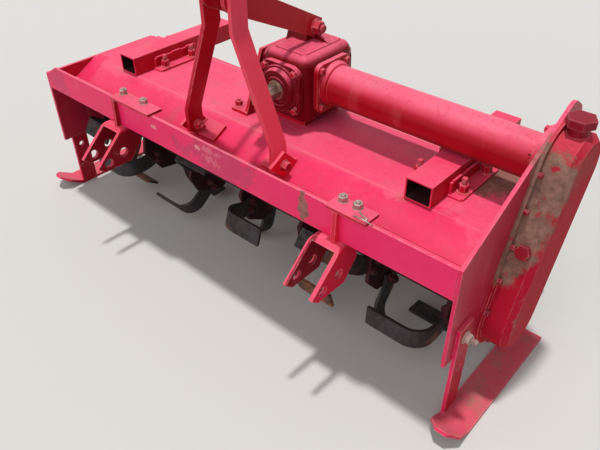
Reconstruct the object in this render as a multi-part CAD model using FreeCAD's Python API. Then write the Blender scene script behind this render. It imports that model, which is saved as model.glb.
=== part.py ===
"""Rotary tiller for a compact tractor's three-point linkage.

A folded steel hood spans two end plates. A gearbox on the hood takes the drive
from the tractor and turns a cross shaft in a tube, and a gear case on the right
end plate carries it down to a rotor with bolted tines. An A-frame and two
sliding clevises take the linkage, skids carry the machine and a hinged board
levels the soil behind.

Millimetres, +Z up, +Y to the rear, +X to the right. Sizes are built from the
hitch centre line (x = 0), the front face of the front rail (y = 0) and the
ground (z = 0), and the finished pieces are then moved so that the origin is in
the middle of the machine's footprint, on the ground.
"""
import FreeCAD
import Part
import math
import os

V = FreeCAD.Vector

# A cutting tool runs this far beyond the face that it leaves by
beyond = 1.0
# Two faces nearer than this are in one plane
touching = 0.01

# Hood and front rail
hood_width = 1268.0
hood_offset = -22.0
rail_top_height = 400.0
rail_height = 70.0
rail_thickness = 6.0
rail_corner = 48.0
sheet = 5.0
valley_depth = 64.0
slope_foot = 80.0
slope_head = 148.0
deck_drop = 28.0
deck_rear = 356.0
rear_lip = 34.0

# End plates
plate_thickness = 8.0
plate_depth = 236.0
plate_rear = 352.0
right_crown_y = 334.0
right_crown_rise = 176.0
crown_round = 30.0
shaft_hole_gap = 2.0

# Skids
skid_bar = 66.0
skid_thickness = 8.0
skid_strap = 46.0
skid_strap_lap = 80.0
skid_nose = 58.0
skid_nose_rise = 34.0
skid_nose_clip = 18.0
skid_front = 26.0
skid_rear = 346.0
skid_hole = 7.0
skid_hole_rise = 50.0
skid_hole_pitch = 84.0
skid_holes = 2

# Rotor
rotor_axis_y = 188.0
rotor_axis_drop = 216.0
rotor_radius = 172.0
rotor_tube = 36.0
rotor_stub = 20.0
rotor_end_gap = 12.0
rotor_side_gap = 5.0
flange_count = 7
flange_half = 82.0
flange_clip = 40.0
flange_thickness = 10.0
flange_end_gap = 52.0
flange_step = 35.0
tines_per_flange = 4
tine_width = 44.0
tine_thickness = 8.0
tine_root = 50.0
tine_straight = 12.0
tine_curve = 50.0
tine_sweep = 34.0
tine_bend = 38.0
tine_foot = 86.0
running_gap = 0.3

# Drive line
shaft_rise = 67.0
cross_shaft_y = 291.0
gearbox_x = 30.0
gearbox_half_width = 65.0
gearbox_half_depth = 83.0
gearbox_rise = 78.0
gearbox_chamfer = 22.0
gearbox_corner = 8.0
cover_half = 57.0
cover_clip = 18.0
cover_thickness = 12.0
seat_gap = 1.0
input_hub = 44.0
input_hub_length = 14.0
spline_radius = 17.4
spline_root = 14.7
spline_width = 8.6
spline_count = 6
spline_length = 62.0
pto_neck = 22.0
pto_length = 88.0
pto_groove = 4.0
pto_groove_start = 20.0
pto_groove_width = 7.0
tube_radius = 44.5
tube_wall = 5.0
tube_collar_radius = 52.0
tube_collar = 8.0
tube_flange_radius = 66.0
tube_flange = 12.0
lug_rise = 18.0
lug_width = 44.0
boss_half = 52.0
boss_length = 29.0
cradle_width = 36.0
cradle_height = 14.0
cradle_plate = 8.0
cradle_leaf = 43.0
cradle_front = 178.0
cradle_rear = 350.0

# Gear case
case_depth = 60.0
case_top_radius = 72.0
case_low_radius = 68.0
case_rim = 12.0
case_rim_thickness = 7.0
case_round = 12.0
cap_neck = 18.0
cap_neck_length = 14.0
cap_neck_seat = 6.0
cap_side_gap = 4.0
cap_hex = 46.0
cap_length = 16.0
plug_hex = 26.0
plug_length = 12.0
hub_radius = 52.0
hub_length = 30.0
hub_chamfer = 7.0
hub_foot_half = 62.0
hub_foot_clip = 20.0
hub_foot = 10.0
hub_wall = 6.0

# Beams that run fore and aft on the hood
beam_inset = 179.0
beam_width = 60.0
beam_height = 48.0
beam_wall = 4.0
beam_front = 144.0
beam_rear = 500.0
beam_foot_width = 34.0
beam_foot_front = 206.0
beam_foot_rear = 350.0
beam_foot_thickness = 6.0
beam_foot_rise = 30.0

# Lower hitch clevises
hitch_spread = 342.0
clevis_gap = 56.0
clevis_thickness = 9.0
clevis_lead = 14.0
clevis_reach = 98.0
clevis_drop = 92.0
clevis_back = 34.0
clevis_back_drop = 50.0
clevis_heel = 2.0
clevis_tip_rise = 16.0
clevis_tip = 18.0
clevis_round = 14.0
clevis_hole = 11.2
clevis_far_hole_y = 66.0
clevis_far_hole_drop = 72.0
clevis_near_hole_y = 20.0
clevis_near_hole_drop = 60.0
rib_thickness = 10.0
rib_shift = 14.0
clamp_width = 42.0
clamp_thickness = 7.0
clamp_overhang = 10.0
left_clamp_shift = 79.0
left_clamp_length = 146.0
right_clamp_shift = 37.0
right_clamp_length = 92.0

# A-frame
strut_foot_x = 133.0
strut_width = 43.0
strut_thickness = 10.0
strut_lift = 2.0
strut_kink_rise = 12.0
strut_bend_drop = 88.0
strut_top_rise = 22.0
foot_start = 3.0
foot_length = 48.0
foot_reach = 62.0
foot_thickness = 8.0
foot_lug_height = 54.0
foot_lug_lean = 17.0
mast_gap = 50.0
mast_thickness = 10.0
mast_head_height = 56.0
mast_tail_height = 44.0
mast_tail = 14.0
mast_front_y = 78.0
mast_front_rise = 318.0
mast_elbow_rise = 290.0
mast_rear_y = 312.0
mast_rear_rise = 173.0
top_link_hole = 9.75
mast_bolt = 9.0

# Levelling board behind the hood
board_thickness = 4.0
board_length = 250.0
board_curve_radius = 420.0
board_lean = 12.0
board_lip = 30.0
board_lip_turn = 40.0
board_facets = 5
board_side_gap = 4.0
hinge_drop = 14.0
hinge_back = 14.0
hinge_rod = 8.0
hinge_knuckle = 14.0
hinge_knuckle_length = 70.0
hinge_ear = 8.0
hinge_ear_margin = 2.5
hinge_leaf_gap = 6.0
hinge_side_gap = 1.0
hinge_leaf = 44.0
hinge_inset = 134.0

rail_z = rail_top_height
valley_z = rail_z - valley_depth
deck_z = rail_z - deck_drop
left_x = hood_offset - hood_width / 2
right_x = hood_offset + hood_width / 2
inner_left = left_x + plate_thickness
inner_right = right_x - plate_thickness
plate_foot_z = rail_z - plate_depth
shaft_z = rail_z + shaft_rise
rotor_z = rail_z - rotor_axis_drop
hinge_y = deck_rear + hinge_back
hinge_z = deck_z - hinge_drop
hinge_places = (left_x + hinge_inset, hood_offset, right_x - hinge_inset)
deck_pitch = math.atan2(deck_z - valley_z, slope_head - slope_foot)
gearbox_left = gearbox_x - gearbox_half_width
gearbox_right = gearbox_x + gearbox_half_width
gearbox_front = cross_shaft_y - gearbox_half_depth

pieces = {}


def keep(name, shape):
    """Keep a finished piece under its name."""
    pieces[name] = shape.removeSplitter()


def block(x0, x1, y0, y1, z0, z1):
    """A box between two corners."""
    return Part.makeBox(x1 - x0, y1 - y0, z1 - z0, V(x0, y0, z0))


def rod_x(radius, x0, x1, y, z):
    """A round bar along X."""
    return Part.makeCylinder(radius, x1 - x0, V(x0, y, z), V(1, 0, 0))


def rod_y(radius, y0, y1, x, z):
    """A round bar along Y."""
    return Part.makeCylinder(radius, y1 - y0, V(x, y0, z), V(0, 1, 0))


def rod_z(radius, z0, z1, x, y):
    """A round bar along Z."""
    return Part.makeCylinder(radius, z1 - z0, V(x, y, z0), V(0, 0, 1))


def hexagon(across, length, start, direction):
    """A hexagonal bar, by its width across flats."""
    turn = FreeCAD.Rotation(V(0, 0, 1), direction)
    corner = across / math.sqrt(3)
    points = []
    for step in range(7):
        angle = math.radians(60 * step)
        points.append(start + turn.multVec(V(corner * math.cos(angle), corner * math.sin(angle), 0)))
    return Part.Face(Part.makePolygon(points)).extrude(direction.normalize() * length)


def clipped_plate(half_a, half_b, clip, centre, thickness, direction):
    """A rectangular plate with clipped corners, by its half sides, its centre and its way through."""
    turn = FreeCAD.Rotation(V(0, 0, 1), direction)
    near_a = half_a - clip
    near_b = half_b - clip
    corners = [(half_a, near_b), (near_a, half_b), (-near_a, half_b), (-half_a, near_b),
               (-half_a, -near_b), (-near_a, -half_b), (near_a, -half_b), (half_a, -near_b)]
    points = [centre + turn.multVec(V(a, b, 0)) for a, b in corners]
    return Part.Face(Part.makePolygon(points + [points[0]])).extrude(direction.normalize() * thickness)


def clipped_square(half, clip, centre, thickness, direction):
    """A square plate with clipped corners, by half its width, its centre and its way through."""
    return clipped_plate(half, half, clip, centre, thickness, direction)


def side_plate(outline, x0, thickness):
    """A plate cut to an outline of (y, z) points, standing across X."""
    points = [V(x0, y, z) for y, z in outline]
    face = Part.Face(Part.makePolygon(points + [points[0]]))
    return face.extrude(V(thickness, 0, 0))


def front_plate(outline, y0, thickness):
    """A plate cut to an outline of (x, z) points, standing across Y."""
    points = [V(x, y0, z) for x, z in outline]
    face = Part.Face(Part.makePolygon(points + [points[0]]))
    return face.extrude(V(0, thickness, 0))


def round_edges(shape, radius, wanted):
    """Fillet the straight edges that a test picks."""
    edges = [edge for edge in shape.Edges if wanted(edge)]
    return shape.makeFillet(radius, edges)


def along_x(edge):
    """True for an edge that runs along X."""
    ends = [vertex.Point for vertex in edge.Vertexes]
    return len(ends) == 2 and abs((ends[1] - ends[0]).normalize().x) > 0.999


def bent_sheet(line, thickness, x0, x1):
    """A sheet folded along a line of (y, z) points, its wall on the left of the line's way."""
    inner = []
    for index, (y, z) in enumerate(line):
        normals = []
        for a, b in ((index - 1, index), (index, index + 1)):
            if a >= 0 and b < len(line):
                dy = line[b][0] - line[a][0]
                dz = line[b][1] - line[a][1]
                size = math.hypot(dy, dz)
                normals.append((dz / size, -dy / size))
        ny = sum(n[0] for n in normals)
        nz = sum(n[1] for n in normals)
        size = math.hypot(ny, nz)
        ny, nz = ny / size, nz / size
        reach = thickness / (ny * normals[0][0] + nz * normals[0][1])
        inner.append((y + ny * reach, z + nz * reach))
    return side_plate(line + inner[::-1], x0, x1 - x0)


def make_hood():
    """The folded sheet from the front rail over the rotor to the rear lip."""
    line = [
        (slope_foot, valley_z),
        (slope_head, deck_z),
        (deck_rear, deck_z),
        (deck_rear, deck_z - rear_lip),
    ]
    return bent_sheet(line, sheet, inner_left, inner_right)


def make_rail():
    """The angle at the front, upright flange forward and flat leg under the hood's foot."""
    outline = [
        (0, rail_z),
        (rail_thickness, rail_z),
        (rail_thickness, valley_z),
        (slope_foot, valley_z),
        (slope_foot, rail_z - rail_height),
        (0, rail_z - rail_height),
    ]
    rail = side_plate(outline, inner_left, inner_right - inner_left)
    corner = [(inner_left, deck_z), (inner_left + rail_corner, rail_z),
              (inner_left + rail_corner, rail_z + beyond), (inner_left - beyond, rail_z + beyond),
              (inner_left - beyond, deck_z)]
    return rail.cut(front_plate(corner, -beyond, rail_thickness + 2 * beyond))


def make_left_plate():
    """The left end plate, level with the deck along its top."""
    outline = [
        (0, plate_foot_z),
        (0, deck_z),
        (plate_rear, deck_z),
        (plate_rear, plate_foot_z),
    ]
    plate = side_plate(outline, left_x, plate_thickness)
    radius = rotor_stub + shaft_hole_gap
    return plate.cut(rod_x(radius, left_x - beyond, inner_left + beyond, rotor_axis_y, rotor_z))


def make_right_plate():
    """The right end plate, which rises to carry the top of the gear case."""
    outline = [
        (0, plate_foot_z),
        (0, rail_z),
        (right_crown_y, rail_z + right_crown_rise),
        (plate_rear + crown_round, rail_z + right_crown_rise - crown_round),
        (plate_rear + crown_round, deck_z + crown_round),
        (plate_rear, deck_z - rear_lip),
        (plate_rear, plate_foot_z),
    ]
    plate = side_plate(outline, inner_right, plate_thickness)
    crown = rail_z + right_crown_rise - crown_round
    return round_edges(plate, crown_round, lambda e: along_x(e) and e.CenterOfMass.z > crown - beyond)


def make_skid(plate_x, out):
    """A skid: a sole with an upturned nose on two straps, bolted outside an end plate."""
    nose_y = skid_front - skid_nose
    line = [(nose_y, skid_nose_rise + skid_thickness), (skid_front, skid_thickness),
            (skid_rear, skid_thickness)]
    x0, x1 = sorted((plate_x, plate_x + out * skid_bar))
    sole = bent_sheet(line, skid_thickness, x0, x1)
    past = skid_thickness
    for corner, way in ((x0, 1), (x1, -1)):
        wedge = [V(corner - way * past, nose_y - past, 0),
                 V(corner + way * (skid_nose_clip + past), nose_y - past, 0),
                 V(corner - way * past, nose_y + skid_nose_clip + past, 0)]
        tool = Part.Face(Part.makePolygon(wedge + [wedge[0]]))
        sole = sole.cut(tool.extrude(V(0, 0, skid_nose_rise + 2 * skid_thickness)))
    for front in (skid_front, skid_rear - skid_strap):
        s0, s1 = sorted((plate_x, plate_x + out * skid_thickness))
        strap = block(s0, s1, front, front + skid_strap, skid_thickness, plate_foot_z + skid_strap_lap)
        for step in range(skid_holes):
            z = plate_foot_z + skid_hole_rise - skid_hole_pitch * step
            strap = strap.cut(rod_x(skid_hole, s0 - beyond, s1 + beyond, front + skid_strap / 2, z))
        sole = sole.fuse(strap)
    return sole


def make_beam(x):
    """A hollow beam on the hood, open at both ends."""
    z0, z1 = deck_z, deck_z + beam_height
    outer = block(x - beam_width / 2, x + beam_width / 2, beam_front, beam_rear, z0, z1)
    half = beam_width / 2 - beam_wall
    inner = block(x - half, x + half, beam_front - beyond, beam_rear + beyond, z0 + beam_wall, z1 - beam_wall)
    return outer.cut(inner)


def make_beam_feet(x):
    """Two angle feet, one on each side of a beam."""
    feet = []
    for side in (-1, 1):
        wall = x + side * beam_width / 2
        a0, a1 = sorted((wall, wall + side * beam_foot_thickness))
        b0, b1 = sorted((wall, wall + side * beam_foot_width))
        upright = block(a0, a1, beam_foot_front, beam_foot_rear, deck_z, deck_z + beam_foot_rise)
        flat = block(b0, b1, beam_foot_front, beam_foot_rear, deck_z, deck_z + beam_foot_thickness)
        feet.append(upright.fuse(flat).removeSplitter())
    return Part.makeCompound(feet)


def make_clevis(x):
    """A strap folded over into two ears, with a rib that hooks over the front rail."""
    top = rail_z - rail_height
    outline = [
        (-clevis_lead, top),
        (clevis_back, top),
        (clevis_back, top - clevis_back_drop),
        (-clevis_heel, top - clevis_drop),
        (-clevis_reach + clevis_tip, top - clevis_drop),
        (-clevis_reach, top - clevis_drop + clevis_tip_rise),
    ]
    half = clevis_gap / 2 + clevis_thickness
    body = side_plate(outline, x - half, 2 * half)
    body = round_edges(body, clevis_round, lambda e: not along_x(e) and e.CenterOfMass.z > top - beyond)
    room = block(x - clevis_gap / 2, x + clevis_gap / 2, -clevis_reach - beyond, clevis_back + beyond,
                 top - clevis_drop - beyond, top - clevis_thickness)
    body = body.cut(room)
    for y, drop in ((clevis_far_hole_y, clevis_far_hole_drop), (clevis_near_hole_y, clevis_near_hole_drop)):
        body = body.cut(rod_x(clevis_hole, x - half - beyond, x + half + beyond, -y, top - drop))
    rib = side_plate([(0, top), (-clevis_lead, top), (-clamp_overhang, rail_z), (0, rail_z)],
                     x + rib_shift - rib_thickness / 2, rib_thickness)
    return body.fuse(rib)


def make_clamp(x, length):
    """The plate that bears on the rail's top edge and is bolted down to the clevis."""
    return block(x - length / 2, x + length / 2, -clamp_overhang,
                 clamp_width - clamp_overhang, rail_z, rail_z + clamp_thickness)


def on_slope(along, height):
    """The (y, z) of a place on the hood's sloped face, by its way up and its height off it."""
    y = slope_foot + along * math.cos(deck_pitch) - height * math.sin(deck_pitch)
    z = valley_z + along * math.sin(deck_pitch) + height * math.cos(deck_pitch)
    return y, z


def make_strut_foot(side):
    """An angle foot on the hood's slope: a leaf that lies on it and a leaning lug for the strut."""
    foot_end = foot_start + foot_length
    low = on_slope(foot_start, 0)
    high = on_slope(foot_end, 0)
    flat = [low, high, on_slope(foot_end, foot_thickness), on_slope(foot_start, foot_thickness)]
    x_lug = side * (strut_foot_x + strut_thickness / 2)
    x0, x1 = sorted((x_lug + side * foot_thickness, x_lug - side * foot_reach))
    leaf = side_plate(flat, x0, x1 - x0)
    lug = [low, high, on_slope(foot_end - foot_lug_lean, foot_lug_height),
           on_slope(foot_start - foot_lug_lean, foot_lug_height)]
    x0, x1 = sorted((x_lug, x_lug + side * foot_thickness))
    return leaf.fuse(side_plate(lug, x0, x1 - x0))


def make_strut(side):
    """A flat bar from its foot, upright beside the lug, then in to the mast and up its cheek."""
    x_top = side * (mast_gap / 2 + mast_thickness + strut_thickness / 2)
    x_low = side * strut_foot_x
    back = mast_front_y + strut_width / 2
    leaf_top = foot_thickness / math.cos(deck_pitch)
    z_low = valley_z + (back - slope_foot) * math.tan(deck_pitch) + leaf_top + strut_lift
    z_kink = rail_z + strut_kink_rise
    z_bend = rail_z + mast_front_rise - strut_bend_drop
    z_top = rail_z + mast_front_rise + strut_top_rise
    half = strut_thickness / 2
    lean = math.atan2(abs(x_low - x_top), z_bend - z_kink)
    mitre = side * half * math.tan(lean / 2)
    left = [(x_low - half, z_low), (x_low - half, z_kink - mitre),
            (x_top - half, z_bend - mitre), (x_top - half, z_top)]
    right = [(x_top + half, z_top), (x_top + half, z_bend + mitre),
             (x_low + half, z_kink + mitre), (x_low + half, z_low)]
    bar = front_plate(left + right, mast_front_y - strut_width / 2, strut_width)
    return bar.cut(rod_x(top_link_hole, x_top - half - beyond, x_top + half + beyond, mast_front_y,
                         rail_z + mast_front_rise))


def make_mast_cheek(side):
    """One cheek of the mast: a round head for the top link's pin and a bar back to the gearbox."""
    x0 = side * mast_gap / 2
    x0, x1 = sorted((x0, x0 + side * mast_thickness))
    pin = V(x0, mast_front_y, rail_z + mast_front_rise)
    elbow = V(x0, mast_front_y, rail_z + mast_elbow_rise)
    bolt = V(x0, mast_rear_y, rail_z + mast_rear_rise)
    way = (bolt - elbow).normalize()
    across = V(0, -way.z, way.y)
    end = bolt + way * mast_tail
    head_half = across * (mast_head_height / 2)
    tail_half = across * (mast_tail_height / 2)
    corners = [elbow + head_half, end + tail_half, end - tail_half, elbow - head_half]
    bar = Part.Face(Part.makePolygon(corners + [corners[0]])).extrude(V(mast_thickness, 0, 0))
    head = pill(pin, mast_head_height / 2, elbow, mast_head_height / 2).extrude(V(mast_thickness, 0, 0))
    cheek = bar.fuse(head).cut(rod_x(top_link_hole, x0 - beyond, x1 + beyond, pin.y, pin.z))
    return cheek.cut(rod_x(mast_bolt, x0 - beyond, x1 + beyond, bolt.y, bolt.z))


def make_gearbox():
    """The cast housing: a block clipped in its three sections, with a boss on its left and the mast's lug."""
    z0 = deck_z + cradle_height
    z1 = shaft_z + gearbox_rise
    half_height = (z1 - z0) / 2
    middle = (z0 + z1) / 2
    plan = clipped_plate(gearbox_half_width, gearbox_half_depth, gearbox_corner,
                         V(gearbox_x, cross_shaft_y, z0), z1 - z0, V(0, 0, 1))
    front = clipped_plate(gearbox_half_width, half_height, gearbox_chamfer,
                          V(gearbox_x, gearbox_front, middle), 2 * gearbox_half_depth, V(0, 1, 0))
    side = clipped_plate(half_height, gearbox_half_depth, gearbox_chamfer,
                         V(gearbox_left, cross_shaft_y, middle), 2 * gearbox_half_width, V(1, 0, 0))
    body = plan.common(front).common(side)
    boss = clipped_square(boss_half, cover_clip, V(gearbox_left, cross_shaft_y, shaft_z), boss_length,
                          V(-1, 0, 0))
    bolt_z = rail_z + mast_rear_rise
    half = mast_gap / 2
    lug = block(-half, half, mast_rear_y - lug_width / 2, mast_rear_y + lug_width / 2,
                z1 - gearbox_chamfer, bolt_z + lug_rise)
    return body.fuse([boss, lug]).cut(rod_x(mast_bolt, -half - beyond, half + beyond, mast_rear_y, bolt_z))


def make_cradle():
    """Two bars that seat the gearbox on the hood, and a side plate from its boss down to a foot leaf."""
    boss_face = gearbox_left - boss_length
    plate_top = shaft_z + boss_half
    outline = [(cradle_front, deck_z), (cross_shaft_y - boss_half, plate_top),
               (cross_shaft_y + boss_half, plate_top), (cradle_rear, deck_z)]
    cradle = side_plate(outline, boss_face - cradle_plate, cradle_plate)
    cradle = cradle.fuse(block(boss_face - cradle_plate - cradle_leaf, boss_face, cradle_front, cradle_rear,
                               deck_z, deck_z + cradle_plate))
    flat_half = gearbox_half_depth - gearbox_chamfer
    for way in (-1, 1):
        y0, y1 = sorted((cross_shaft_y + way * flat_half, cross_shaft_y + way * (flat_half - cradle_width)))
        cradle = cradle.fuse(block(boss_face - touching, gearbox_right - gearbox_chamfer, y0, y1,
                                   deck_z, deck_z + cradle_height))
    return cradle


def make_input_cover():
    """The front cover with the stub shaft's seal hub."""
    front = gearbox_front - cover_thickness
    centre = V(gearbox_x, gearbox_front, shaft_z)
    cover = clipped_square(cover_half, cover_clip, centre, cover_thickness, V(0, -1, 0))
    cover = cover.fuse(rod_y(input_hub, front - input_hub_length, front, gearbox_x, shaft_z))
    seat = rod_y(pto_neck + running_gap, front - input_hub_length - beyond, gearbox_front - seat_gap,
                 gearbox_x, shaft_z)
    return cover.cut(seat)


def make_pto():
    """The splined input shaft that the tractor's drive shaft slides on."""
    front = gearbox_front - pto_length
    shaft = rod_y(spline_radius, front, front + spline_length, gearbox_x, shaft_z)
    for index in range(spline_count):
        angle = 360.0 / spline_count * index
        slot_half = (2 * math.pi * spline_radius / spline_count - spline_width) / 2
        slot = block(-slot_half, slot_half, front - beyond, front + spline_length + beyond,
                     spline_root, spline_radius + beyond)
        slot.rotate(V(0, 0, 0), V(0, 1, 0), angle)
        slot.translate(V(gearbox_x, 0, shaft_z))
        shaft = shaft.cut(slot)
    groove0 = front + pto_groove_start
    groove1 = groove0 + pto_groove_width
    core = rod_y(spline_radius - pto_groove, groove0 - beyond, groove1 + beyond, gearbox_x, shaft_z)
    shaft = shaft.cut(rod_y(spline_radius + beyond, groove0, groove1, gearbox_x, shaft_z).cut(core))
    neck_end = gearbox_front - seat_gap - running_gap
    return shaft.fuse(rod_y(pto_neck, front + spline_length, neck_end, gearbox_x, shaft_z))


def make_drive_tube():
    """The tube from the gearbox to the gear case, with a square cover, a collar and a round flange."""
    x0, x1 = gearbox_right, inner_right
    tube = rod_x(tube_radius, x0, x1, cross_shaft_y, shaft_z)
    cover = clipped_square(cover_half, cover_clip, V(x0, cross_shaft_y, shaft_z), cover_thickness, V(1, 0, 0))
    collar = rod_x(tube_collar_radius, x0, x0 + cover_thickness + tube_collar, cross_shaft_y, shaft_z)
    flange = rod_x(tube_flange_radius, x1 - tube_flange, x1, cross_shaft_y, shaft_z)
    tube = tube.fuse([cover, collar, flange])
    return tube.cut(rod_x(tube_radius - tube_wall, x0 - beyond, x1 + beyond, cross_shaft_y, shaft_z))


def pill(top, top_radius, low, low_radius):
    """A face across X: two circles, each by its centre, joined by their outer tangents."""
    way = low - top
    base = math.atan2(way.z, way.y)
    spread = math.acos((top_radius - low_radius) / way.Length)

    def at(centre, radius, angle):
        return V(centre.x, centre.y + radius * math.cos(angle), centre.z + radius * math.sin(angle))

    a, b = base + spread, base - spread
    edges = [
        Part.Arc(at(top, top_radius, a), at(top, top_radius, base + math.pi), at(top, top_radius, b)),
        Part.LineSegment(at(top, top_radius, b), at(low, low_radius, b)),
        Part.Arc(at(low, low_radius, b), at(low, low_radius, base), at(low, low_radius, a)),
        Part.LineSegment(at(low, low_radius, a), at(top, top_radius, a)),
    ]
    return Part.Face(Part.Wire([edge.toShape() for edge in edges]))


def case_outline(margin):
    """The gear case's outline on the end plate, wider by a margin."""
    top = V(right_x, cross_shaft_y, shaft_z)
    low = V(right_x, rotor_axis_y, rotor_z)
    return pill(top, case_top_radius + margin, low, case_low_radius + margin)


def make_gear_case():
    """The deep gear case outside the right end plate, with its bolted rim."""
    body = case_outline(0).extrude(V(case_depth, 0, 0))
    outer = right_x + case_depth
    edges = [edge for edge in body.Edges if edge.BoundBox.XMin > outer - touching]
    body = body.makeChamfer(case_round, edges)
    body = body.fuse(case_outline(case_rim).extrude(V(case_rim_thickness, 0, 0)))
    return body.cut(cap_neck_rod())


def cap_neck_rod():
    """The filler neck, which stands in the case's top."""
    z = shaft_z + case_top_radius
    x = right_x + case_rim_thickness + cap_neck + cap_side_gap
    return rod_z(cap_neck, z - cap_neck_seat, z + cap_neck_length, x, cross_shaft_y)


def make_filler_cap():
    """The hexagonal filler cap on its neck, on top of the gear case."""
    neck = cap_neck_rod()
    centre = neck.CenterOfMass
    top = shaft_z + case_top_radius + cap_neck_length
    return neck.fuse(hexagon(cap_hex, cap_length, V(centre.x, centre.y, top), V(0, 0, 1)))


def make_level_plug():
    """The hexagonal level plug on the gear case's front wall."""
    top = V(0, cross_shaft_y, shaft_z)
    low = V(0, rotor_axis_y, rotor_z)
    way = low - top
    angle = math.atan2(way.z, way.y) - math.acos((case_top_radius - case_low_radius) / way.Length)
    out = V(0, math.cos(angle), math.sin(angle))
    wall = (case_top_radius + case_low_radius) / 2
    seat = (top + low) * 0.5 + out * wall + V(right_x + case_depth / 2, 0, 0)
    return hexagon(plug_hex, plug_length, seat, out)


def tine(hand):
    """One tine about the X axis, its root up the Z axis: curved shank, bend and foot."""
    half = tine_width / 2
    sweep = math.radians(tine_sweep)
    x0 = hand * flange_thickness / 2
    start = tine_root + tine_straight
    centre_y = tine_curve + half
    end = V(0, centre_y - centre_y * math.cos(sweep), start + centre_y * math.sin(sweep))
    way = V(0, math.sin(sweep), math.cos(sweep))
    out = V(0, -math.cos(sweep), math.sin(sweep))
    lead = end + out * half
    cap = tine_bend + tine_thickness
    along = lead.dot(way)
    reach = -along + math.sqrt(along ** 2 - lead.Length ** 2 + rotor_radius ** 2) - cap
    tip = end + way * reach

    def arc(radius):
        def at(angle):
            return V(x0, centre_y - radius * math.cos(angle), start + radius * math.sin(angle))
        return Part.Arc(at(0), at(sweep / 2), at(sweep)).toShape(), at(0), at(sweep)
    outer_arc, outer0, outer1 = arc(centre_y + half)
    inner_arc, inner0, inner1 = arc(centre_y - half)
    face = V(x0, 0, 0)
    tip0 = tip + out * half + face
    tip1 = tip - out * half + face
    root0 = V(x0, -half, tine_root)
    root1 = V(x0, half, tine_root)
    wire = Part.Wire([Part.LineSegment(root0, outer0).toShape(), outer_arc,
                      Part.LineSegment(outer1, tip0).toShape(), Part.LineSegment(tip0, tip1).toShape(),
                      Part.LineSegment(tip1, inner1).toShape(), inner_arc,
                      Part.LineSegment(inner0, root1).toShape(), Part.LineSegment(root1, root0).toShape()])
    shank = Part.Face(wire).extrude(V(hand * tine_thickness, 0, 0))
    section = Part.Face(Part.makePolygon([tip0, tip1, tip1 + V(hand * tine_thickness, 0, 0),
                                          tip0 + V(hand * tine_thickness, 0, 0), tip0]))
    pivot = tip + V(x0 + hand * (tine_thickness + tine_bend), 0, 0)
    bend = section.revolve(pivot, out, -90 * hand)
    root = pivot + way * tine_bend
    rise = way * tine_thickness
    corners = [root + out * half, root - out * half, root - out * half + rise, root + out * half + rise]
    foot = Part.Face(Part.makePolygon(corners + [corners[0]])).extrude(V(hand * tine_foot, 0, 0))
    whole = shank.fuse([bend, foot])
    return whole.removeSplitter()


def rotor_stations():
    """Each rotor flange: its X, its turn in degrees and the sides its tines face."""
    first = inner_left + flange_end_gap
    last = inner_right - flange_end_gap
    stations = []
    for index in range(flange_count):
        x = first + (last - first) * index / (flange_count - 1)
        hands = (1, -1) if 0 < index < flange_count - 1 else ((1, 1) if index == 0 else (-1, -1))
        stations.append((x, index * flange_step, hands))
    return stations


def make_rotor():
    """The rotor's tube with its flanges, and its left and right handed tines."""
    x0 = inner_left + rotor_end_gap
    x1 = inner_right - hub_foot - rotor_side_gap
    tube = rod_x(rotor_tube, x0, x1, rotor_axis_y, rotor_z)
    tube = tube.fuse(rod_x(rotor_stub, x1, inner_right - running_gap, rotor_axis_y, rotor_z))
    tube = tube.fuse(rod_x(rotor_stub, left_x - hub_length + hub_wall, x0, rotor_axis_y, rotor_z))
    flanges = []
    tines = {1: [], -1: []}
    shapes = {1: tine(1), -1: tine(-1)}
    for x, turn, hands in rotor_stations():
        flange = clipped_square(flange_half, flange_clip, V(0, 0, 0), flange_thickness, V(1, 0, 0))
        flange.rotate(V(0, 0, 0), V(1, 0, 0), turn)
        flange.translate(V(x - flange_thickness / 2, rotor_axis_y, rotor_z))
        flanges.append(flange)
        for number in range(tines_per_flange):
            hand = hands[number % 2]
            blade = shapes[hand].copy()
            blade.rotate(V(0, 0, 0), V(1, 0, 0), turn + 360.0 * number / tines_per_flange)
            blade.translate(V(x, rotor_axis_y, rotor_z))
            tines[hand].append(blade)
    return tube.fuse(flanges), tines


def make_left_bearing():
    """The cast bearing housing outside the left end plate, blind on its outer side."""
    centre = V(left_x, rotor_axis_y, rotor_z)
    foot = clipped_square(hub_foot_half, hub_foot_clip, centre, hub_foot, V(-1, 0, 0))
    hub = rod_x(hub_radius, left_x - hub_length, left_x - hub_foot, rotor_axis_y, rotor_z)
    edges = [edge for edge in hub.Edges if edge.BoundBox.XMax < left_x - hub_length + touching]
    hub = hub.makeChamfer(hub_chamfer, edges)
    seat = rod_x(rotor_stub + running_gap, left_x - hub_length + hub_wall - running_gap, left_x + beyond,
                 rotor_axis_y, rotor_z)
    return foot.fuse(hub).cut(seat)


def make_right_bearing():
    """The bearing ring inside the right end plate, round the rotor's end."""
    centre = V(inner_right, rotor_axis_y, rotor_z)
    foot = clipped_square(hub_foot_half, hub_foot_clip, centre, hub_foot, V(-1, 0, 0))
    seat = rod_x(rotor_stub + running_gap, inner_right - hub_foot - beyond, inner_right + beyond,
                 rotor_axis_y, rotor_z)
    return foot.cut(seat)


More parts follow.
